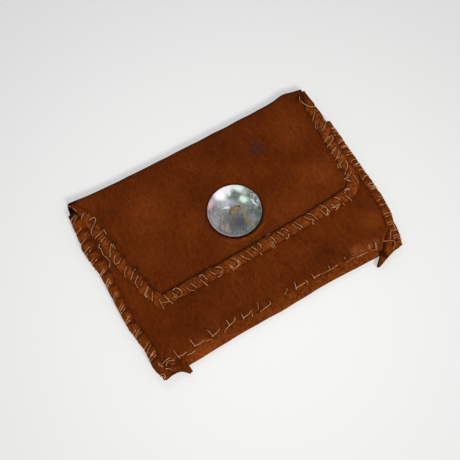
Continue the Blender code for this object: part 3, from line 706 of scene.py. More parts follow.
def flap_point(share, part):
    """The flap's middle surface, from the top fold (part 0) to its bottom edge (part 1)."""
    wobble = waves(share, 0, FLAP_BOTTOM_WAVES) * smooth_step(part)
    bottom = FLAP_BOTTOM_Y + curve_through(FLAP_BOTTOM_RISES, share) + TURN_OVER + wobble
    y = lerp(top_turn(share)[0], bottom, part)
    x = flap_x(share, y)
    return (x, y, flap_height(x, y))


def body_rows():
    """Rows of points from the lip's edge round both folds to the flap's edge, and the flap's first row."""
    runs = (
        (lip_point, range(LIP_ROWS), LIP_ROWS),
        (bottom_fold_point, range(FOLD_STEPS + 1), FOLD_STEPS),
        (back_point, range(1, BACK_ROWS), BACK_ROWS),
        (top_fold_point, range(TOP_FOLD_STEPS + 1), TOP_FOLD_STEPS),
        (flap_point, range(1, FLAP_ROWS + 1), FLAP_ROWS),
    )
    rows = [[point(share, k / steps) for share in COLUMNS] for point, numbers, steps in runs for k in numbers]
    return rows, len(rows) - FLAP_ROWS - 1


def edge_frames(edge, corner):
    """For each point of the flap's edge: its outward direction in plan, its run and its arc length."""
    frames = []
    length = 0.0
    for k, point in enumerate(edge):
        before, after = max(k - 2, 0), min(k + 2, len(edge) - 1)
        if k <= corner:
            after = min(after, corner)
        else:
            before = max(before, corner)
        run = Vector((edge[after][0] - edge[before][0], edge[after][1] - edge[before][1])).normalized()
        if k:
            length += math.hypot(point[0] - edge[k - 1][0], point[1] - edge[k - 1][1])
        frames.append((Vector((run.y, -run.x)), run, length))
    return frames


def hem_offsets():
    """Steps round the hem's turn and then over its flat part: (outward, share of the flat part, upward)."""
    radius = PITCH / 2
    turns = [math.pi * k / HEM_STEPS for k in range(1, HEM_STEPS + 1)]
    offsets = [(radius * math.sin(turn), 0.0, radius * (1 - math.cos(turn))) for turn in turns]
    return offsets + [(0.0, k / HEM_FLAT_STEPS, 2 * radius) for k in range(1, HEM_FLAT_STEPS + 1)]


def hem_flat_width(from_start):
    """Width of the hem's flat part, which grows from the top fold on."""
    width = lerp(HEM_START_WIDTH, HEM_WIDTH, smooth_step(from_start / HEM_START_LENGTH))
    return width - PITCH / 2 - THICKNESS / 2


def mitre_slide(away, inward, corner_turn):
    """How far a point of the hem slides along the edge near the sharp corner, which makes a mitre."""
    near = max(0.0, 1 - abs(away) / MITRE_SPREAD) ** 2
    return inward * math.tan(corner_turn / 2) * near * (-1 if away <= 0 else 1)


def hem_rows(edge, corner, corner_turn):
    """The hem's points with their tones and shades, row after row, and each row's numbers."""
    frames = edge_frames(edge, corner)
    offsets = hem_offsets()
    points, tones, shades = [], [], []
    for out, flat_share, up in offsets:
        for point, (normal, run, length) in zip(edge, frames):
            from_start = min(length, frames[-1][2] - length)
            begun = smooth_step((from_start - HEM_BEGINS) / HEM_GROWS)
            inward = flat_share * hem_flat_width(from_start) - out
            slide = mitre_slide(length - frames[corner][2], inward, corner_turn)
            x = point[0] - normal.x * inward + run.x * slide
            y = point[1] - normal.y * inward + run.y * slide
            pinch = hem_pinch(x, y)
            ragged = waves(length, 0, HEM_EDGE_WAVES) + HEM_PRESS * pinch
            bulge = HEM_BULGE * begun - HEM_DRAW_IN * pinch
            narrow = ragged * flat_share + bulge * (1 - flat_share)
            x, y = x + normal.x * narrow, y + normal.y * narrow
            crown = crown_across(flat_share) if flat_share else 0.3
            lobe = 0.55 + 0.45 * wander(length, flat_share, *HEM_LOBES)
            puff = (HEM_PUFF * lobe * (1 - pinch) - HEM_PRESS * pinch) * crown * begun
            points.append((x, y, flap_height(x, y) + up + puff))
            # The tone is a painted highlight on the tops of the lobes, lighter towards the right side; the
            # shade is painted shade in the pinches under the strands and along the hem's inner edge
            right_side = smooth_step((x - 60 * MM) / (20 * MM))
            bright = lerp(1.0, 1.7, right_side) * (0.35 + 0.65 * lobe) * (0.4 + 0.6 * crown)
            tones.append(min(1.0, (0.16 + (1 - pinch) ** 2 * bright) * begun))
            shades.append(min(1.0, 0.35 * pinch + 0.5 * flat_share**5))
    size = len(edge)
    return points, tones, shades, [range(k * size, (k + 1) * size) for k in range(len(offsets))]


def in_scene(name, data, material=None):
    if material:
        data.materials.append(material)
    piece = bpy.data.objects.new(name, data)
    bpy.context.scene.collection.objects.link(piece)
    return piece


def new_object(name, vertices, faces, material, tones, shades):
    """A mesh whose tone paints rubbed wear and highlights lighter, and whose shade paints shade darker."""
    data = bpy.data.meshes.new(name)
    data.from_pydata(vertices, [], faces)
    data.update()
    data.shade_smooth()
    for label, values in (("tone", tones), ("shade", shades)):
        layer = data.attributes.new(label, "FLOAT", "POINT")
        layer.data.foreach_set("value", values)
    return in_scene(name, data, material)


def thicken(piece):
    """Gives a sheet its thickness, with softly rounded raw edges."""
    solid = piece.modifiers.new("Suede thickness", "SOLIDIFY")
    solid.thickness = THICKNESS
    solid.offset = 0
    soft = piece.modifiers.new("Worn edges", "BEVEL")
    soft.width = EDGE_ROUNDING
    soft.segments = EDGE_ROUNDING_STEPS
    soft.limit_method = "ANGLE"
    soft.angle_limit = math.radians(60)


def grid_faces(rows, skip=None):
    """Quads between rows of one length, whose points are numbered row after row."""
    width = len(rows[0])
    faces = []
    for k in range(len(rows) - 1):
        for j in range(width - 1):
            if skip and skip(k, j):
                continue
            start = k * width + j
            faces.append((start, start + 1, start + width + 1, start + width))
    return faces


def flap_shade(x, y):
    """Painted shade where strands enter the flap beside the hem, and a painted shadow round the button's rim,
    darkest along its lower side.
    """
    ring = math.hypot(x - BUTTON_X, y - BUTTON_Y) - BUTTON_DIAMETER / 2
    below = 0.5 + 0.5 * math.cos(math.atan2(y - BUTTON_Y, x - BUTTON_X) - BUTTON_LIP_DIRECTION)
    button_shadow = bump(ring - 0.4 * MM, 1.1 * MM) + bump(ring + 1.5 * MM, 1.5 * MM)
    return min(1.0, 0.8 * hem_dimple_shade(x, y) + button_shadow * lerp(0.25, 1.0, below))


def opening_shade(x, y):
    """Painted shade inside the small opening at the left end of the top fold."""
    return 0.9 * smooth_step((-x - 86 * MM) / (6 * MM)) * smooth_step((y - 48 * MM) / (6 * MM))


def button_lip(x, y):
    """The suede that stands up along the button's lower edge, from 0 to 1."""
    ring = math.hypot(x - BUTTON_X, y - BUTTON_Y) - BUTTON_DIAMETER / 2 - BUTTON_LIP_OFFSET
    direction = math.atan2(y - BUTTON_Y, x - BUTTON_X)
    return bump(ring, BUTTON_LIP_WIDTH) * bump(direction - BUTTON_LIP_DIRECTION, BUTTON_LIP_LENGTH)


def body_points(rows, first_flap):
    """The body's points with their tones and shades."""
    vertices, tones, shades = [], [], []
    for k, row in enumerate(rows):
        for x, y, z in row:
            lip = button_lip(x, y) if k > first_flap else 0.0
            vertices.append((x, y, z + BUTTON_LIP_HEIGHT * lip))
            # The lip and the lower half of the bottom fold are painted lighter as the lit band along the
            # bottom, and the suede along the button's lower edge gets a painted highlight
            on_lip = 0.5 if k < LIP_ROWS + FOLD_STEPS // 2 else 0.0
            tones.append(max(on_lip, 0.7 * lip))
            if k >= first_flap:
                shades.append(flap_shade(x, y))
            else:
                shades.append(opening_shade(x, y) if k >= LIP_ROWS + FOLD_STEPS else 0.0)
    return vertices, tones, shades


def flap_edge(first_flap, last, width):
    """Numbers of the points along the flap's left, bottom and right edges, and the sharp corner's place."""
    left = [k * width for k in range(first_flap, last + 1)]
    bottom = [last * width + j for j in range(1, width - 1)]
    right = [k * width + width - 1 for k in range(last, first_flap - 1, -1)]
    return left + bottom + right, len(left) - 1


def make_body(material):
    rows, first_flap = body_rows()
    width = len(COLUMNS)

    def in_notch(row, column):
        in_fold = LIP_ROWS <= row < LIP_ROWS + FOLD_STEPS
        return in_fold and (column < NOTCH_COLUMNS or column >= width - NOTCH_COLUMNS - 1)

    faces = grid_faces(rows, in_notch)
    vertices, tones, shades = body_points(rows, first_flap)
    loop, corner = flap_edge(first_flap, len(rows) - 1, width)
    edge = [vertices[k] for k in loop]
    before = Vector(edge[corner][:2]) - Vector(edge[corner - 5][:2])
    after = Vector(edge[corner + 5][:2]) - Vector(edge[corner][:2])
    hem, hem_tones, hem_shades, hem_order = hem_rows(edge, corner, before.angle(after))
    start = len(vertices)
    strips = [loop] + [[start + k for k in order] for order in hem_order]
    for a, b in zip(strips, strips[1:]):
        for j in range(len(loop) - 1):
            faces.append((a[j + 1], a[j], b[j], b[j + 1]))
    body = new_object("pouch_body", vertices + hem, faces, material, tones + hem_tones, shades + hem_shades)
    drop_loose(body)
    thicken(body)
    return body


def drop_loose(piece):
    """Deletes the points that no face uses."""
    mesh = bmesh.new()
    mesh.from_mesh(piece.data)
    bmesh.ops.delete(mesh, geom=[v for v in mesh.verts if not v.link_faces], context="VERTS")
    bmesh.ops.recalc_face_normals(mesh, faces=mesh.faces)
    mesh.to_mesh(piece.data)
    mesh.free()


def seam_heights(start, end):
    count = int((end - start) / SEAM_ROW_LENGTH)
    return [lerp(start, end, k / count) for k in range(count + 1)]


def panel_stitch_pull(x, y):
    """How hard the bottom seam's stitches press the panel's edge, from 0 to 1."""
    if y > PANEL_BOTTOM_Y + 8 * MM:
        return 0.0
    beside = max(bump(x - place * MM, 1.8 * MM) for place in PANEL_STITCHES)
    return beside * bump(y - PANEL_BOTTOM_Y - 1.5 * MM, 4 * MM)


def panel_point(height, share):
    """A point of the panel with its tone and its shade.

    The panel's lower left corner hangs down over the lip's end, and its lowest rows share that drop.
    """
    above = height - PANEL_BOTTOM_Y
    drop = curve_through(PANEL_CORNER_DROPS, share) * (1 - smooth_step(above / (2 * PANEL_LAP)))
    x = lerp(-panel_reach(-1, height - drop), panel_reach(1, height), share)
    near_edge = bump(above, 3 * MM)
    y = height - drop + (waves(x, 0, PANEL_EDGE_WAVES) + curve_through(BOTTOM_FOLD_RISES, share)) * near_edge
    pull = panel_stitch_pull(x, height)
    point = sheet_point(x, y, layer_height(PANEL) + PANEL_EDGE_LIFT * near_edge - PANEL_PRESS * pull, PANEL)
    lump = near_lump(x, y)
    rim = bump(panel_reach(1, height) - x, 1.6 * MM) * (1 - smooth_step((y + 40 * MM) / (15 * MM)))
    # Tone: lighter along the lower edge and along the cut right edge low down, with painted light on the
    # ridges of the gathered corner. Shade: painted shade where the stitches press the edge, in the gap beside
    # the bindings and in the creases
    tone = max(0.25 * near_edge * (1 - pull), 0.8 * rim, lump * (0.6 - 0.6 * crease(x, y)))
    side_gap = min(x + panel_reach(-1, y), panel_reach(1, y) - x)
    gap_shade = (0.4 if x < 0 else 0.1) * bump(side_gap - 3.5 * MM, 1.6 * MM)
    return point, tone, min(1.0, 0.5 * pull + gap_shade + 0.7 * lump * crease(x, y))


def make_panel(material):
    heights = seam_heights(PANEL_BOTTOM_Y, MOUTH_Y)
    shares = [k / INNER_COLUMNS for k in range(INNER_COLUMNS + 1)]
    rows = [[panel_point(height, share) for share in shares] for height in heights]
    vertices, tones, shades = zip(*(point for row in rows for point in row))
    panel = new_object("pouch_front_panel", vertices, grid_faces(rows), material, tones, shades)
    thicken(panel)
    return panel


def leaf_roll(x, y, height):
    """The leaf at the lower right corner curls up into a roll between the cut panel and the seam."""
    if x < 0 or height > upper_leaf_height(y) + CLEARANCE or y > LEAF_ROLL_TOP_Y:
        return 0.0
    return LEAF_ROLL_HEIGHT * bump(distance_to_run(x, y, LEAF_ROLL), LEAF_ROLL_WIDTH)


def binding_crown(side, y, share):
    """How far the binding stands up between its stitches; share runs from the seam to its inner edge."""
    pinch = seam_pinch(side, y)
    puff = BINDING_PUFF_LEFT if side < 0 else BINDING_PUFF_RIGHT
    puff *= (1 + 0.5 * wander(y, side, *BINDING_LOBES)) * (1 - 0.7 * near_lump(side * seam_reach(side, y), y))
    return puff * crown_across(share) * (1 - pinch) - BINDING_PINCH * pinch


def gusset_profile(side, y):
    """Points (distance from the middle, height, closeness to the inner fold) across a gusset."""
    reach = seam_reach(side, y) - SEAM_DRAW_IN * seam_pinch(side, y) + waves(side, y, SEAM_WAVES)
    low, high, top = layer_height(GUSSET_LOW), upper_leaf_height(y), layer_height(FLAP)
    valley = (high - low) / 2
    turn = binding_radius(y)
    outer = reach - GUSSET_EDGE_INSET
    inner = reach - gusset_depth(side, y) + valley + THICKNESS / 2
    crest = reach - turn - THICKNESS / 2
    points = []
    for k in range(LEAF_STEPS + 1):
        points.append((lerp(outer, inner, k / LEAF_STEPS), low, k / LEAF_STEPS))
    for k in range(1, HEM_STEPS):
        angle = math.pi * k / HEM_STEPS
        points.append((inner - valley * math.sin(angle), low + valley * (1 - math.cos(angle)), 1.0))
    for k in range(LEAF_STEPS + 1):
        points.append((lerp(inner, crest, k / LEAF_STEPS), high, 1 - k / LEAF_STEPS))
    for k in range(1, FOLD_STEPS + 1):
        angle = math.pi * k / FOLD_STEPS
        points.append((crest + turn * math.sin(angle), high + turn * (1 - math.cos(angle)), 0.0))
    end = lip_end(side, y)
    for k in range(1, HEM_FLAT_STEPS + 1):
        share = k / HEM_FLAT_STEPS
        points.append((lerp(crest, end, share), top + binding_crown(side, y, share), 0.0))
    return points


def tail_rows(side):
    """Rows of the gusset's tail, from its tip to the bottom fold."""
    reaches = LEFT_TAIL_REACH if side < 0 else RIGHT_TAIL_REACH
    lean = LEFT_TAIL_LEAN if side < 0 else RIGHT_TAIL_LEAN
    ends = gusset_profile(side, BOTTOM_FOLD_Y - CLEARANCE)
    starts = gusset_profile(side, BOTTOM_FOLD_Y)
    rows = []
    for k in range(TAIL_ROWS):
        part = 1 - k / TAIL_ROWS
        row = []
        for (away, height, inward), (away_start, height_start, _) in zip(ends, starts):
            y = BOTTOM_FOLD_Y - curve_through(reaches, inward) * part
            x = side * (lerp(away_start, away, part) - lean * smooth_step((inward - 0.4) / 0.6) * part)
            row.append(sheet_point(x, y, lerp(height_start, height, part), GUSSET_HIGH))
        rows.append(row)
    return rows


def gusset_point(side, j, x, y, z):
    """Point number j across a gusset, with its tone and its shade."""
    on_binding = j >= BINDING_START
    on_leaf = LEAF_STEPS + HEM_STEPS <= j < BINDING_START
    roll = leaf_roll(x, y, upper_leaf_height(y)) if on_leaf else 0.0
    pinch = seam_pinch(side, y) if on_binding else 0.0
    lobe = 0.5 + 0.5 * wander(y, j * MM, *BINDING_RUB_AND_HIGHLIGHT)
    lump = near_lump(x, y)
    # Tone: painted highlights on the binding's lobes, mixed with rubbed wear, on the rolled leaf's top and on
    # the ridges of the creases. Shade: painted shade in the pinches, along the binding's inner edge, in the
    # creases, beside the panel's cut edge and inside the opening at the top left
    on_lobe = (0.35 + 0.65 * lobe) * (1 - pinch) ** 2 if on_binding else 0.05
    tone = max(on_lobe * (1 - lump), 0.6 * roll / LEAF_ROLL_HEIGHT, lump * (0.6 - 0.6 * crease(x, y)))
    beside_cut = 0.0
    if on_leaf and side > 0 and y < -38 * MM:
        beside_cut = 0.95 * bump(x - panel_reach(side, y) - 0.6 * MM, 1.7 * MM)
    in_opening = 0.9 * smooth_step((y - 54 * MM) / (5 * MM)) if side < 0 and j > 2 * LEAF_STEPS else 0.0
    depth = 0.3 if side < 0 else 0.12
    inner = max(0.0, (j - BINDING_START - FOLD_STEPS) / HEM_FLAT_STEPS)
    shade = depth * pinch + depth * inner**5 + 0.8 * lump * crease(x, y) + beside_cut + in_opening
    return (x, y, z + roll), tone, min(1.0, shade)


def make_gusset(name, side, material):
    rows = tail_rows(side)
    heights = [BOTTOM_FOLD_Y] * TAIL_ROWS + seam_heights(BOTTOM_FOLD_Y, MOUTH_Y)
    for y in heights[TAIL_ROWS:]:
        rows.append([sheet_point(side * away, y, z, PANEL) for away, z, _ in gusset_profile(side, y)])

    def above_binding(row, column):
        return side > 0 and heights[row] > RIGHT_BINDING_TOP_Y and column >= BINDING_START

    places = [gusset_point(side, j, *point) for row in rows for j, point in enumerate(row)]
    vertices, tones, shades = zip(*places)
    gusset = new_object(name, vertices, grid_faces(rows, above_binding), material, tones, shades)
    drop_loose(gusset)
    thicken(gusset)
    return gusset


def smooth_path(points):
    """A smooth curve through the points, with THREAD_STEPS steps between each two."""
    points = [Vector(point) for point in points]
    path = []
    for k in range(len(points) - 1):
        a, b = points[max(k - 1, 0)], points[k]
        c, d = points[k + 1], points[min(k + 2, len(points) - 1)]
        for step in range(THREAD_STEPS):
            t = step / THREAD_STEPS
            bend = (2 * a - 5 * b + 4 * c - d) * t**2 + (3 * b - a - 3 * c + d) * t**3
            path.append(0.5 * (2 * b + (c - a) * t + bend))
    path.append(points[-1])
    return path


def make_threads(name, paths, material, radius=THREAD_RADIUS):
    """One curve object that holds a run of stitches, each a smooth strand."""
    data = bpy.data.curves.new(name, "CURVE")
    data.dimensions = "3D"
    data.bevel_depth = radius
    data.bevel_resolution = THREAD_SIDES
    data.use_fill_caps = True
    for points in paths:
        path = smooth_path(points)
        spline = data.splines.new("POLY")
        spline.points.add(len(path) - 1)
        for k, point in enumerate(path):
            spline.points[k].co = (*point, 1)
            spline.points[k].radius = 1 + 0.16 * wander(point.x, point.y, *THREAD_UNEVENNESS)
        spline.use_smooth = True
    return in_scene(name, data, material)


def jitter(amount):
    return random.uniform(-amount, amount)


def surface(x, y, layer):
    """Height of a layer's upper face."""
    base = layer_height(layer) + THICKNESS / 2 + seam_lift(x) + sag(x, y, layer)
    return base + (button_bulge(x, y) if layer >= FLAP else 0.0)


def seam_stitch(side, y, rise, bow):
    """A whip stitch over the binding: from its inner edge, across and round the seam's outer face."""
    inner = lip_end(side, y) + 0.5 * MM
    crest = seam_crest(side, y)
    turn = binding_radius(y) + THICKNESS / 2 + THREAD_RADIUS - 0.35 * MM
    middle = (layer_height(FLAP) + upper_leaf_height(y)) / 2
    top = middle + turn

    def at(away, height, share):
        x = side * away
        along = y + lerp(rise / 2, -rise / 2, share) + bow * math.sin(math.pi * share)
        across = (crest - away) / (crest - inner)
        crown = binding_crown(side, along, across) if across > 0 else 0.0
        return (x, along, height + crown + seam_lift(x) + sag(x, along, PANEL))

    points = [at(inner - 0.3 * MM, top - 1.5 * MM, 0.0), at(inner + 0.3 * MM, top - 0.1 * MM, 0.05)]
    for across in (0.75, 0.5, 0.25):
        points.append(at(lerp(crest, inner, across), top + 0.1 * MM, 0.6 * (1 - across)))
    for k in range(6):
        angle = math.pi * (0.12 + 0.88 * k / 5)
        share = lerp(0.6, 1.0, k / 5)
        points.append(at(crest + turn * math.sin(angle), middle + turn * math.cos(angle), share))
    points.append(at(crest - 2.2 * MM, middle - turn, 1.0))
    return points


def back_stitch(side, y, rise):
    """A whip stitch that joins the back to the lower leaf, round their edges."""
    edge = seam_reach(side, y) - BACK_EDGE_INSET
    low = layer_height(BACK) - THICKNESS / 2 - THREAD_RADIUS + 0.15 * MM
    high = layer_height(GUSSET_LOW) + THICKNESS / 2 + THREAD_RADIUS - 0.15 * MM
    spots = (
        (-3.4, high - 0.6 * MM), (-2.4, high), (0.1, high - 0.2 * MM), (0.75, (low + high) / 2),
        (0.3, low + 0.1 * MM), (-2.8, low), (-4.6, low), (-5.3, low + 0.8 * MM),
    )
    points = []
    for k, (out, height) in enumerate(spots):
        x = side * (edge + out * MM)
        along = y + lerp(rise / 2, -rise / 2, k / (len(spots) - 1))
        points.append((x, along, height + seam_lift(x)))
    return points


def lay_strand(points, top):
    """A strand through plan points in mm, over a surface whose height is top(x, y); both its ends go in."""
    places = [Vector(point) * MM for point in points]
    path = [(place.x, place.y, top(place.x, place.y) + THREAD_RADIUS * 0.7) for place in places]
    start = places[0] + (places[0] - places[1]).normalized() * 0.7 * MM
    end = places[-1] + (places[-1] - places[-2]).normalized() * 0.7 * MM
    return [(*start, path[0][2] - BURIED)] + path + [(*end, path[-1][2] - BURIED)]


def depth_in_flap(x, y):
    """How far a plan point lies inside the flap's nearest edge."""
    left, right = flap_reach(-1, FLAP_BOTTOM_Y), flap_reach(1, FLAP_BOTTOM_Y)
    share = min(max((x + left) / (left + right), 0.0), 1.0)
    bottom = FLAP_BOTTOM_Y + curve_through(FLAP_BOTTOM_RISES, share)
    return min(x + flap_reach(-1, y), flap_reach(1, y) - x, y - bottom)


def hem_top(x, y):
    """Height of what lies uppermost on and beside the hem, where a strand presses it down."""
    depth = depth_in_flap(x, y)
    if depth < 0:
        return surface(x, y, PANEL) + 0.7 * MM
    return surface(x, y, HEM) - 0.1 * MM if 0 < depth < HEM_WIDTH else surface(x, y, FLAP)


def corner_top(x, y):
    """Height of what lies uppermost around a place near a lower corner."""
    return max(corner_height(x + aside * MM, y) for aside in (-0.9, 0.0, 0.9))


def corner_height(x, y):
    """Height of what lies uppermost near a lower corner: the binding, the rolled leaf or the panel."""
    side = 1 if x > 0 else -1
    end = lip_end(side, y)
    if abs(x) > end:
        crest = seam_crest(side, y)
        turn = binding_radius(y) + THICKNESS / 2
        over = min(max(abs(x) - crest, 0.0) / turn, 1.0)
        fall = (1 - math.sqrt(1 - over**2)) * turn
        across = (crest - abs(x)) / (crest - end)
        crown = binding_crown(side, y, across) if across > 0 else 0.0
        return surface(x, y, PANEL) + PITCH + crown - fall
    roll = leaf_roll(x, y, upper_leaf_height(y))
    return surface(x, y, GUSSET_HIGH) + roll if roll > MM else surface(x, y, PANEL) + 0.3 * MM


def panel_edge_y(x):
    share = (x + panel_reach(-1, PANEL_BOTTOM_Y)) / (2 * HALF_WIDTH)
    return PANEL_BOTTOM_Y + curve_through(BOTTOM_FOLD_RISES, share) + waves(x, 0, PANEL_EDGE_WAVES)


def bottom_top(x, y):
    """Height of what lies uppermost along the bottom seam: the lip or the panel over it."""
    on_lip = y < panel_edge_y(x) - 0.3 * MM and abs(x) < 74 * MM
    return surface(x, y, LIP) if on_lip else surface(x, y, PANEL) - 0.1 * MM


def companion(points):
    """A second strand close beside the first, a little shorter."""
    places = [Vector(point) for point in points]
    run = (places[-1] - places[0]).normalized()
    aside = Vector((-run.y, run.x)) * random.choice((-1, 1)) * random.uniform(0.9, 1.7)
    moved = [place + aside + run * jitter(0.3) for place in places]
    moved[0] = moved[0].lerp(moved[1], random.uniform(0.0, 0.5))
    moved[-1] = moved[-1].lerp(moved[-2], random.uniform(0.0, 0.4))
    return [(place.x, place.y) for place in moved]


def hem_threads(strands, doubled):
    """The strands of one side of the hem, with a share of them doubled."""
    paths = [lay_strand(points, hem_top) for points in strands]
    paths += [lay_strand(companion(points), hem_top) for points in strands if random.random() < doubled]
    return paths


def seam_threads(side, heights, rise):
    """One to three uneven strands at each stitch of a side seam."""
    paths = []
    for y in heights:
        count = random.choice((1, 2, 2, 3))
        for k in range(count):
            along = y * MM + (k - (count - 1) / 2) * STRAND_SPACING
            stitch = seam_stitch(side, along, rise + jitter(1.4) * MM, random.uniform(0.4, 1.9) * MM)
            hidden = random.choice((0, 0, 1, 2, 3))
            first = stitch[hidden]
            paths.append([(first[0], first[1], first[2] - 0.8 * MM)] + stitch[hidden + 1:])
    return paths


def back_threads(side, heights, drop):
    """The stitches of the back, a little below those of the front; heights and drop in mm."""
    return [back_stitch(side, (y - drop) * MM, drop * MM) for y in heights]


def make_stitches(material):
    """The threads of all seams. The front seams and the hem draw random numbers in this order."""
    runs = (
        ("left_front_seam_thread", seam_threads(-1, LEFT_SEAM_STITCHES, LEFT_STITCH_RISE)),
        ("right_front_seam_thread", seam_threads(1, RIGHT_SEAM_STITCHES, RIGHT_STITCH_RISE)),
        ("left_back_seam_thread", back_threads(-1, LEFT_SEAM_STITCHES, LEFT_BACK_DROP_MM)),
        ("right_back_seam_thread", back_threads(1, RIGHT_SEAM_STITCHES, RIGHT_BACK_DROP_MM)),
        ("flap_hem_bottom_thread", hem_threads(HEM_BOTTOM_STRANDS, 0.4)),
        ("flap_hem_left_thread", hem_threads(HEM_LEFT_STRANDS, 0.25)),
        ("flap_hem_right_thread", hem_threads(HEM_RIGHT_STRANDS, 0.7)),
        ("bottom_seam_thread", [lay_strand(points, bottom_top) for points in BOTTOM_STRANDS]),
        ("corner_thread", [lay_strand(points, corner_top) for points in CORNER_STRANDS]),
    )
    return [make_threads(name, paths, material) for name, paths in runs]


def button_base():
    return layer_height(FLAP) + THICKNESS / 2 + BUTTON_BULGE + CLEARANCE


def button_profile():
    """Half the button's section as (radius, height), from the middle of its face round to its back."""
    radius = BUTTON_DIAMETER / 2
    round_off = BUTTON_EDGE / 2
    dome = BUTTON_THICKNESS - BUTTON_EDGE
    profile = []
    for k in range(BUTTON_FACE_RINGS):
        r = (radius - round_off) * k / (BUTTON_FACE_RINGS - 1)
        profile.append((r, BUTTON_THICKNESS - dome * (r / radius) ** 2))
    middle = profile[-1][1] / 2
    for k in range(1, BUTTON_EDGE_RINGS):
        angle = math.pi * k / BUTTON_EDGE_RINGS
        profile.append((radius - round_off + round_off * math.sin(angle), middle + middle * math.cos(angle)))
    return profile + [(radius - round_off, 0.0), (0.0, 0.0)]


def button_ring(mesh, r, z):
    """A slightly uneven ring of points, or a single point at the middle."""
    if r == 0.0:
        return [mesh.verts.new((0, 0, z))]
    ring = []
    for k in range(BUTTON_STEPS):
        angle = 2 * math.pi * k / BUTTON_STEPS
        uneven = 1 + 0.004 * math.sin(2 * angle + 0.7) + 0.002 * math.sin(5 * angle)
        ring.append(mesh.verts.new((r * uneven * math.cos(angle), r * uneven * math.sin(angle), z)))
    return ring


def drill(button, side):
    """Cuts one of the button's two holes."""
    offset = side * BUTTON_HOLE_SPACING / 2
    x, y = BUTTON_X + offset * math.cos(BUTTON_TURN), BUTTON_Y + offset * math.sin(BUTTON_TURN)
    place = (x, y, button_base() + BUTTON_THICKNESS / 2)
    bpy.ops.mesh.primitive_cylinder_add(vertices=HOLE_STEPS, radius=LEG_RADIUS + CLEARANCE,
                                        depth=3 * BUTTON_THICKNESS, location=place)
    cutter = bpy.context.object
    hole = button.modifiers.new("Hole", "BOOLEAN")
    hole.operation = "DIFFERENCE"
    hole.object = cutter
    bpy.context.view_layer.update()
    evaluated = button.evaluated_get(bpy.context.evaluated_depsgraph_get())
    drilled = bpy.data.meshes.new_from_object(evaluated)
    button.modifiers.clear()
    button.data = drilled
    bpy.data.objects.remove(cutter, do_unlink=True)


def make_button(material):
    """A turned shell disc with two drilled holes."""
    mesh = bmesh.new()
    rings = [button_ring(mesh, r, z) for r, z in button_profile()]
    for upper, lower in zip(rings, rings[1:]):
        for k in range(BUTTON_STEPS):
            a, b = upper[k % len(upper)], upper[(k + 1) % len(upper)]
            c, d = lower[(k + 1) % len(lower)], lower[k % len(lower)]
            mesh.faces.new(list(dict.fromkeys((a, d, c, b))))
    data = bpy.data.meshes.new("button_disc")
    mesh.to_mesh(data)
    mesh.free()
    data.shade_smooth()
    button = in_scene("button_disc", data, material)
    button.location = (BUTTON_X, BUTTON_Y, button_base())
    for side in (-1, 1):
        drill(button, side)
    return button


def make_button_thread(material):
    """Several strands side by side through both holes."""
    along = Vector((math.cos(BUTTON_TURN), math.sin(BUTTON_TURN), 0))
    across = Vector((-along.y, along.x, 0))
    centre = Vector((BUTTON_X, BUTTON_Y, 0))
    top = button_base() + BUTTON_THICKNESS
    under = layer_height(PANEL) + THICKNESS / 2 + CLEARANCE + BAR_HALF_THICKNESS
    leg = BUTTON_HOLE_SPACING / 2
    paths = []
    for k in range(BUTTON_STRANDS):
        spread = 2 * k / (BUTTON_STRANDS - 1) - 1
        lift = 0.35 * MM + 0.45 * MM * (1 - spread**2)
        spots = [
            (0.0, under, 1.5), (leg - 0.9 * MM, under, 1.0), (leg, under + 1.0 * MM, 0.42),
            (leg, top - 0.4 * MM, 0.38), (leg - 0.35 * MM, top + 0.35 * MM, 0.6),
            (leg - 1.2 * MM, top + lift, 1.2), (0.0, top + lift + 0.25 * MM, 1.6),
        ]
        half, other = [
            [centre + along * way * a + across * spread * wide * MM + Vector((0, 0, z))
             for a, z, wide in spots]
            for way in (1, -1)
        ]
        paths.append(half + other[-2::-1])
    return make_threads("button_thread_strands", paths, material, BUTTON_THREAD_RADIUS)


def connect(tree, made, inputs):
    """Sets the inputs of a node to values, or links them to the outputs of other nodes."""
    for name, value in inputs.items():
        if isinstance(value, bpy.types.NodeSocket):
            tree.links.new(value, made.inputs[name])
        else:
            made.inputs[name].default_value = value


def node(tree, kind, inputs=None, **settings):
    made = tree.nodes.new(kind)
    for name, value in settings.items():
        setattr(made, name, value)
    connect(tree, made, inputs or {})
    return made


def new_material(name):
    """A material with its node tree, its shader and the place on the object in metres."""
    material = bpy.data.materials.new(name)
    material.use_nodes = True
    tree = material.node_tree
    place = tree.nodes.new("ShaderNodeTexCoord").outputs["Object"]
    return material, tree, tree.nodes["Principled BSDF"], place


def ramp(tree, source, stops):
    made = tree.nodes.new("ShaderNodeValToRGB")
    elements = made.color_ramp.elements
    for element, (position, colour) in ((elements[0], stops[0]), (elements[1], stops[-1])):
        element.position = position
        element.color = (*colour, 1)
    for position, colour in stops[1:-1]:
        elements.new(position).color = (*colour, 1)
    tree.links.new(source, made.inputs["Fac"])
    return made.outputs["Color"]


def mix(tree, factor, a, b, blend="MIX"):
    made = node(tree, "ShaderNodeMix", data_type="RGBA", blend_type=blend)
    values = {"Factor": factor, "A": a, "B": b}
    connect(tree, made, {k: (*v, 1) if isinstance(v, tuple) else v for k, v in values.items()})
    return made.outputs["Result"]


def textured(tree, vector, scale, detail=3.0, roughness=0.55, distortion=0.0):
    inputs = {"Scale": scale, "Detail": detail, "Roughness": roughness, "Distortion": distortion}
    return node(tree, "ShaderNodeTexNoise", {"Vector": vector, **inputs}).outputs["Fac"]


def mapping(tree, vector, turn, scale):
    inputs = {"Vector": vector, "Rotation": (0, 0, turn), "Scale": scale}
    return node(tree, "ShaderNodeMapping", inputs).outputs["Vector"]


def vector_math(tree, operation, *values):
    return node(tree, "ShaderNodeVectorMath", dict(enumerate(values)), operation=operation)


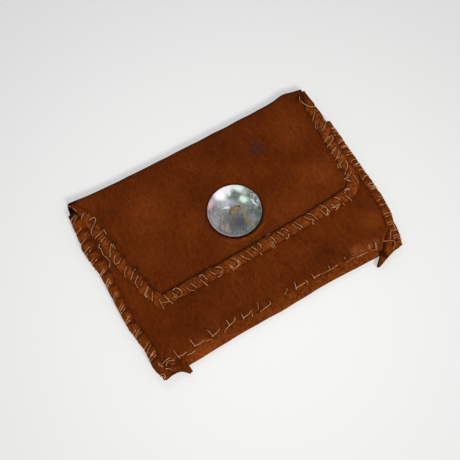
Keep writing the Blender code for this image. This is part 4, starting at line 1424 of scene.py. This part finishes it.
def scaled(tree, value, factor):
    return node(tree, "ShaderNodeMath", {0: value, 1: factor}, operation="MULTIPLY").outputs[0]


def bumped(tree, height, strength, distance, **under):
    """The normal of a height in metres, over the normal of a bump under it, if there is one."""
    inputs = {"Height": height, "Strength": strength, "Distance": distance, **under}
    return node(tree, "ShaderNodeBump", inputs).outputs["Normal"]


def fade(tree, away, reach):
    """1 at no distance, falling smoothly to 0 at reach."""
    inputs = {"Value": away, "From Min": 0, "From Max": reach, "To Min": 1, "To Max": 0}
    return node(tree, "ShaderNodeMapRange", inputs, interpolation_type="SMOOTHSTEP").outputs["Result"]


def ramp_value(tree, value, start, end, strength):
    """0 up to start, rising smoothly to strength at end."""
    inputs = {"Value": value, "From Min": start, "From Max": end, "To Max": strength}
    return node(tree, "ShaderNodeMapRange", inputs, interpolation_type="SMOOTHSTEP").outputs["Result"]


def patch(tree, coordinates, x, y, radius):
    """A soft round patch, 1 at its middle, in the plane of the pouch."""
    flat = vector_math(tree, "MULTIPLY", coordinates, (1, 1, 0)).outputs[0]
    return fade(tree, vector_math(tree, "DISTANCE", flat, (x, y, 0)).outputs["Value"], radius)


def ellipse(tree, coordinates, x, y, half_width, half_height, turn):
    """A soft turned ellipse, 1 at its middle."""
    inputs = {
        "Vector": coordinates, "Location": (x, y, 0), "Rotation": (0, 0, math.radians(turn)),
        "Scale": (half_width, half_height, 1000),
    }
    placed = node(tree, "ShaderNodeMapping", inputs, vector_type="TEXTURE").outputs["Vector"]
    return fade(tree, vector_math(tree, "LENGTH", placed).outputs["Value"], 1)


def attribute(tree, name):
    return node(tree, "ShaderNodeAttribute", attribute_name=name).outputs["Fac"]


def with_patches(tree, colour, place, patches, tint, mask=1.0):
    """The colour with a tint in soft patches, broken up by a mask."""
    for x, y, radius, strength in patches:
        near = scaled(tree, patch(tree, place, x * MM, y * MM, radius * MM), strength)
        colour = mix(tree, scaled(tree, near, mask), colour, tint)
    return colour


def suede_colour(tree, place, brushed, grain):
    """Clouded and brushed suede, with worn, dark and stained patches, rubbed lobes with painted highlights,
    painted shade, flecks and mottles.
    """
    clouds = textured(tree, place, 30, 4, 0.6, 0.4)
    blotches = textured(tree, place, 95, 4, 0.65, 0.8)
    strokes = textured(tree, brushed, 210, 4, 0.65, 0.8)
    colour = ramp(tree, clouds, ((0.24, SUEDE_DARK), (0.5, SUEDE_MIDDLE), (0.79, SUEDE_LIGHT)))
    colour = mix(tree, ramp_value(tree, blotches, 0.5, 0.75, 0.5), colour, SUEDE_DARK)
    colour = mix(tree, ramp_value(tree, strokes, 0.5, 0.78, 0.42), colour, SUEDE_LIGHT)
    colour = with_patches(tree, colour, place, LIGHT_PATCHES, SUEDE_RUB_AND_HIGHLIGHT, blotches)
    colour = with_patches(tree, colour, place, DARK_PATCHES, SUEDE_DARK_PATCH_AND_SHADE, blotches)
    worn = ramp_value(tree, grain, 0.42, 0.62, 1.0)
    colour = with_patches(tree, colour, place, PALE_PATCHES, SUEDE_PALE, worn)
    colour = with_patches(tree, colour, place, STAIN_PATCHES, STAIN)
    uneven = ramp_value(tree, textured(tree, place, 430, 4, 0.7, 0.6), 0.36, 0.66, 1.25)
    # Rubbed wear and painted highlights from the tone
    colour = mix(tree, scaled(tree, attribute(tree, "tone"), uneven), colour, SUEDE_RUB_AND_HIGHLIGHT)
    # Painted shade from the shade
    colour = mix(tree, attribute(tree, "shade"), colour, SUEDE_DARK_PATCH_AND_SHADE)
    fleck = ramp(tree, grain, ((0.25, (0.62, 0.6, 0.58)), (0.5, WHITE), (0.78, (1.4, 1.42, 1.45))))
    colour = mix(tree, 1.0, colour, fleck, "MULTIPLY")
    mottle = textured(tree, brushed, 520, 5, 0.75, 0.8)
    spots = ramp(tree, mottle, ((0.32, (0.72, 0.68, 0.62)), (0.5, WHITE), (0.68, (1.22, 1.28, 1.35))))
    return mix(tree, 1.0, colour, spots, "MULTIPLY")


def suede_material():
    material, tree, shader, place = new_material("orange brown suede")
    brushed = mapping(tree, place, math.radians(-32), (1.0, 0.42, 1.0))
    grain = textured(tree, place, 1300, 3, 0.75)
    nap = bumped(tree, grain, 0.6, 0.2 * MM)
    connect(tree, shader, {
        "Base Color": suede_colour(tree, place, brushed, grain),
        "Roughness": 1.0,
        "Specular IOR Level": 0.03,
        "Sheen Weight": 0.05,
        "Sheen Roughness": 0.4,
        "Sheen Tint": (1.0, 0.35, 0.08, 1),
        "Normal": bumped(tree, textured(tree, place, 260, 5, 0.65, 0.6), 0.6, 0.9 * MM, Normal=nap),
    })
    return material


def thread_material(name, light, dark):
    material, tree, shader, place = new_material(name)
    connect(tree, shader, {
        "Base Color": ramp(tree, textured(tree, place, 190, 3, 0.6), ((0.32, dark), (0.68, light))),
        "Roughness": 0.55,
        "Specular IOR Level": 0.12,
        "Normal": bumped(tree, textured(tree, place, 2600, 2, 0.6), 0.5, 0.1 * MM),
    })
    return material


def with_zones(tree, colour, coordinates, zones):
    for x, y, half_width, half_height, turn, strength, zone in zones:
        near = ellipse(tree, coordinates, x, y, half_width, half_height, turn)
        colour = mix(tree, scaled(tree, near, strength), colour, zone)
    return colour


def with_arcs(tree, colour, place, warped):
    """Growth arcs in a darker zone of the shell."""
    centred = vector_math(tree, "SUBTRACT", warped, (*ARCS_MIDDLE, 0)).outputs[0]
    inputs = {"Vector": centred, "Scale": 0.125, "Distortion": 1.2, "Detail": 2.0}
    rings = node(tree, "ShaderNodeTexWave", inputs, wave_type="RINGS", rings_direction="Z").outputs["Fac"]
    arcs = ellipse(tree, place, *ARCS_ZONE)
    colour = mix(tree, scaled(tree, arcs, 0.35), colour, (0.12, 0.095, 0.09))
    return mix(tree, scaled(tree, scaled(tree, arcs, rings), 0.42), colour, (0.50, 0.43, 0.43))


def with_streaks(tree, colour, warped):
    """Long dark and pale streaks."""
    stretched = mapping(tree, warped, math.radians(-14), (1.0, 0.16, 1.0))
    streaks = textured(tree, stretched, 0.75, 5, 0.75)
    colour = mix(tree, ramp_value(tree, streaks, 0.50, 0.66, 0.62), colour, (0.045, 0.045, 0.05))
    pale = ramp_value(tree, scaled(tree, streaks, -1), -0.42, -0.30, 0.5)
    return mix(tree, pale, colour, (0.66, 0.63, 0.66))


def with_sparks(tree, colour, place, warped):
    """Bright cells near one side of the shell."""
    cells = node(tree, "ShaderNodeTexVoronoi", {"Vector": warped, "Scale": 0.75, "Randomness": 1.0})
    sparks = ramp(tree, cells.outputs["Distance"], ((0.16, WHITE), (0.42, (0, 0, 0))))
    mask = scaled(tree, ellipse(tree, place, *SPARKS_ZONE), sparks)
    return mix(tree, scaled(tree, mask, 1.4), colour, (0.80, 0.86, 0.84))


def with_rim(tree, colour, place):
    """A warm rim along a part of the button's edge."""
    away = vector_math(tree, "LENGTH", place).outputs["Value"]
    mask = scaled(tree, ramp_value(tree, away, 18.1, 19.0, 0.6), patch(tree, place, *RIM_ZONE))
    return mix(tree, mask, colour, (0.74, 0.58, 0.52))


def shell_material():
    """Mother of pearl: pale, grey, green and pink zones with fine growth lines, and painted highlights in its
    whitest zones.
    """
    material, tree, shader, metres = new_material("iridescent shell")
    place = mapping(tree, metres, SHELL_TURN, (1000, 1000, 1000))
    noisy = {"Vector": place, "Scale": 0.30, "Detail": 4.0, "Roughness": 0.65}
    warp = node(tree, "ShaderNodeTexNoise", noisy)
    centred = vector_math(tree, "SUBTRACT", place, (SHELL_WARP / 2, SHELL_WARP / 2, 0)).outputs[0]
    by = (SHELL_WARP, SHELL_WARP, 0)
    warped = vector_math(tree, "MULTIPLY_ADD", warp.outputs["Color"], by, centred).outputs[0]
    clouds = textured(tree, warped, 0.22, 6, 0.62, 0.9)
    colour = with_zones(tree, ramp(tree, clouds, SHELL_CLOUDS), warped, SHELL_ZONES)
    colour = with_arcs(tree, colour, place, warped)
    colour = with_streaks(tree, colour, warped)
    # Pale zones and painted highlights
    colour = with_zones(tree, colour, warped, SHELL_PALE_ZONES_AND_HIGHLIGHTS)
    colour = with_sparks(tree, colour, place, warped)
    connect(tree, shader, {
        "Base Color": with_rim(tree, colour, place),
        "Roughness": 0.3,
        "Specular IOR Level": 0.3,
        "Coat Weight": 0.42,
        "Coat Roughness": 0.14,
        "Normal": bumped(tree, clouds, 0.3, 0.3 * MM),
    })
    return material


def only_seen(tree):
    """1 where something is looked at, straight, in a reflection or through glass, and 0 where it lights."""
    path = tree.nodes.new("ShaderNodeLightPath")
    seen = path.outputs["Is Camera Ray"]
    for kind in ("Is Glossy Ray", "Is Transmission Ray"):
        seen = node(tree, "ShaderNodeMath", {0: seen, 1: path.outputs[kind]}, operation="MAXIMUM").outputs[0]
    return seen


def floor_material():
    """Pale paper with a painted pool of light, a little darker away from the pouch. Its glow is only seen,
    and lights nothing.
    """
    material, tree, shader, place = new_material("pale floor")
    colour = mix(tree, patch(tree, place, *FLOOR_LIGHT_POOL, FLOOR_FADE), FLOOR_DARK, FLOOR_LIGHT)
    connect(tree, shader, {
        "Base Color": colour,
        "Emission Color": colour,
        "Emission Strength": scaled(tree, only_seen(tree), FLOOR_GLOW),
        "Roughness": 1.0,
        "Specular IOR Level": 0.0,
    })
    return material


def aim(piece, turn, rise, distance, target):
    """Puts a camera or a light at a distance from its target and points it there; turn 0 is at -Y."""
    level = math.cos(rise)
    back = Vector((math.sin(turn) * level, -math.cos(turn) * level, math.sin(rise)))
    piece.location = target + back * distance
    piece.rotation_euler = back.to_track_quat("Z", "Y").to_euler()


def make_camera():
    data = bpy.data.cameras.new("camera")
    data.sensor_width = SENSOR_MM
    data.lens = SENSOR_MM * FOCAL_PX / PHOTO_WIDTH_PX
    camera = in_scene("camera", data)
    aim(camera, CAMERA_TURN, CAMERA_ELEVATION, CAMERA_DISTANCE, CAMERA_TARGET)
    bpy.context.scene.camera = camera


def make_light(name, azimuth, elevation, distance, size, power, colour):
    """An area light aimed at the pouch; azimuth 0 lies on the camera's side."""
    data = bpy.data.lights.new(name, "AREA")
    data.shape = "DISK"
    data.size = size
    data.energy = power
    data.color = colour
    turn = CAMERA_TURN + math.radians(azimuth)
    aim(in_scene(name, data), turn, math.radians(elevation), distance, Vector((0, 0, 0)))


def make_studio():
    bpy.ops.mesh.primitive_plane_add(size=FLOOR_SIZE, location=(0, 0, -FLOOR_BELOW))
    floor = bpy.context.object
    floor.name = "studio_floor"
    floor.data.materials.append(floor_material())
    for values in LIGHTS:
        make_light(*values)
    world = bpy.data.worlds.new("studio")
    bpy.context.scene.world = world
    world.use_nodes = True
    tree = world.node_tree
    colour = mix(tree, only_seen(tree), SKY_COLOUR, SURROUND)
    connect(tree, tree.nodes["Background"], {"Color": colour, "Strength": 1.0})


def main():
    bpy.context.scene.view_settings.view_transform = "Standard"
    suede = suede_material()
    seam_thread = thread_material("pale waxed thread", *SEAM_THREAD)
    gold_thread = thread_material("gold waxed thread", *GOLD_THREAD)
    shell = shell_material()
    make_camera()
    make_studio()

    body = make_body(suede)
    panel = make_panel(suede)
    left = make_gusset("pouch_left_gusset", -1, suede)
    right = make_gusset("pouch_right_gusset", 1, suede)
    button = make_button(shell)
    strands = make_button_thread(gold_thread)
    pieces = (
        (body, "back_and_flap", "suede"), (panel, "front_panel", "suede"),
        (left, "left_gusset", "suede"), (right, "right_gusset", "suede"),
        (button, "shell_button", "shell"), (strands, "button_thread", "thread"),
    )
    for piece, solid, slot in pieces:
        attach(piece, "root")
        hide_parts(solid)
    for thread in make_stitches(seam_thread):
        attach(thread, "root")


main()
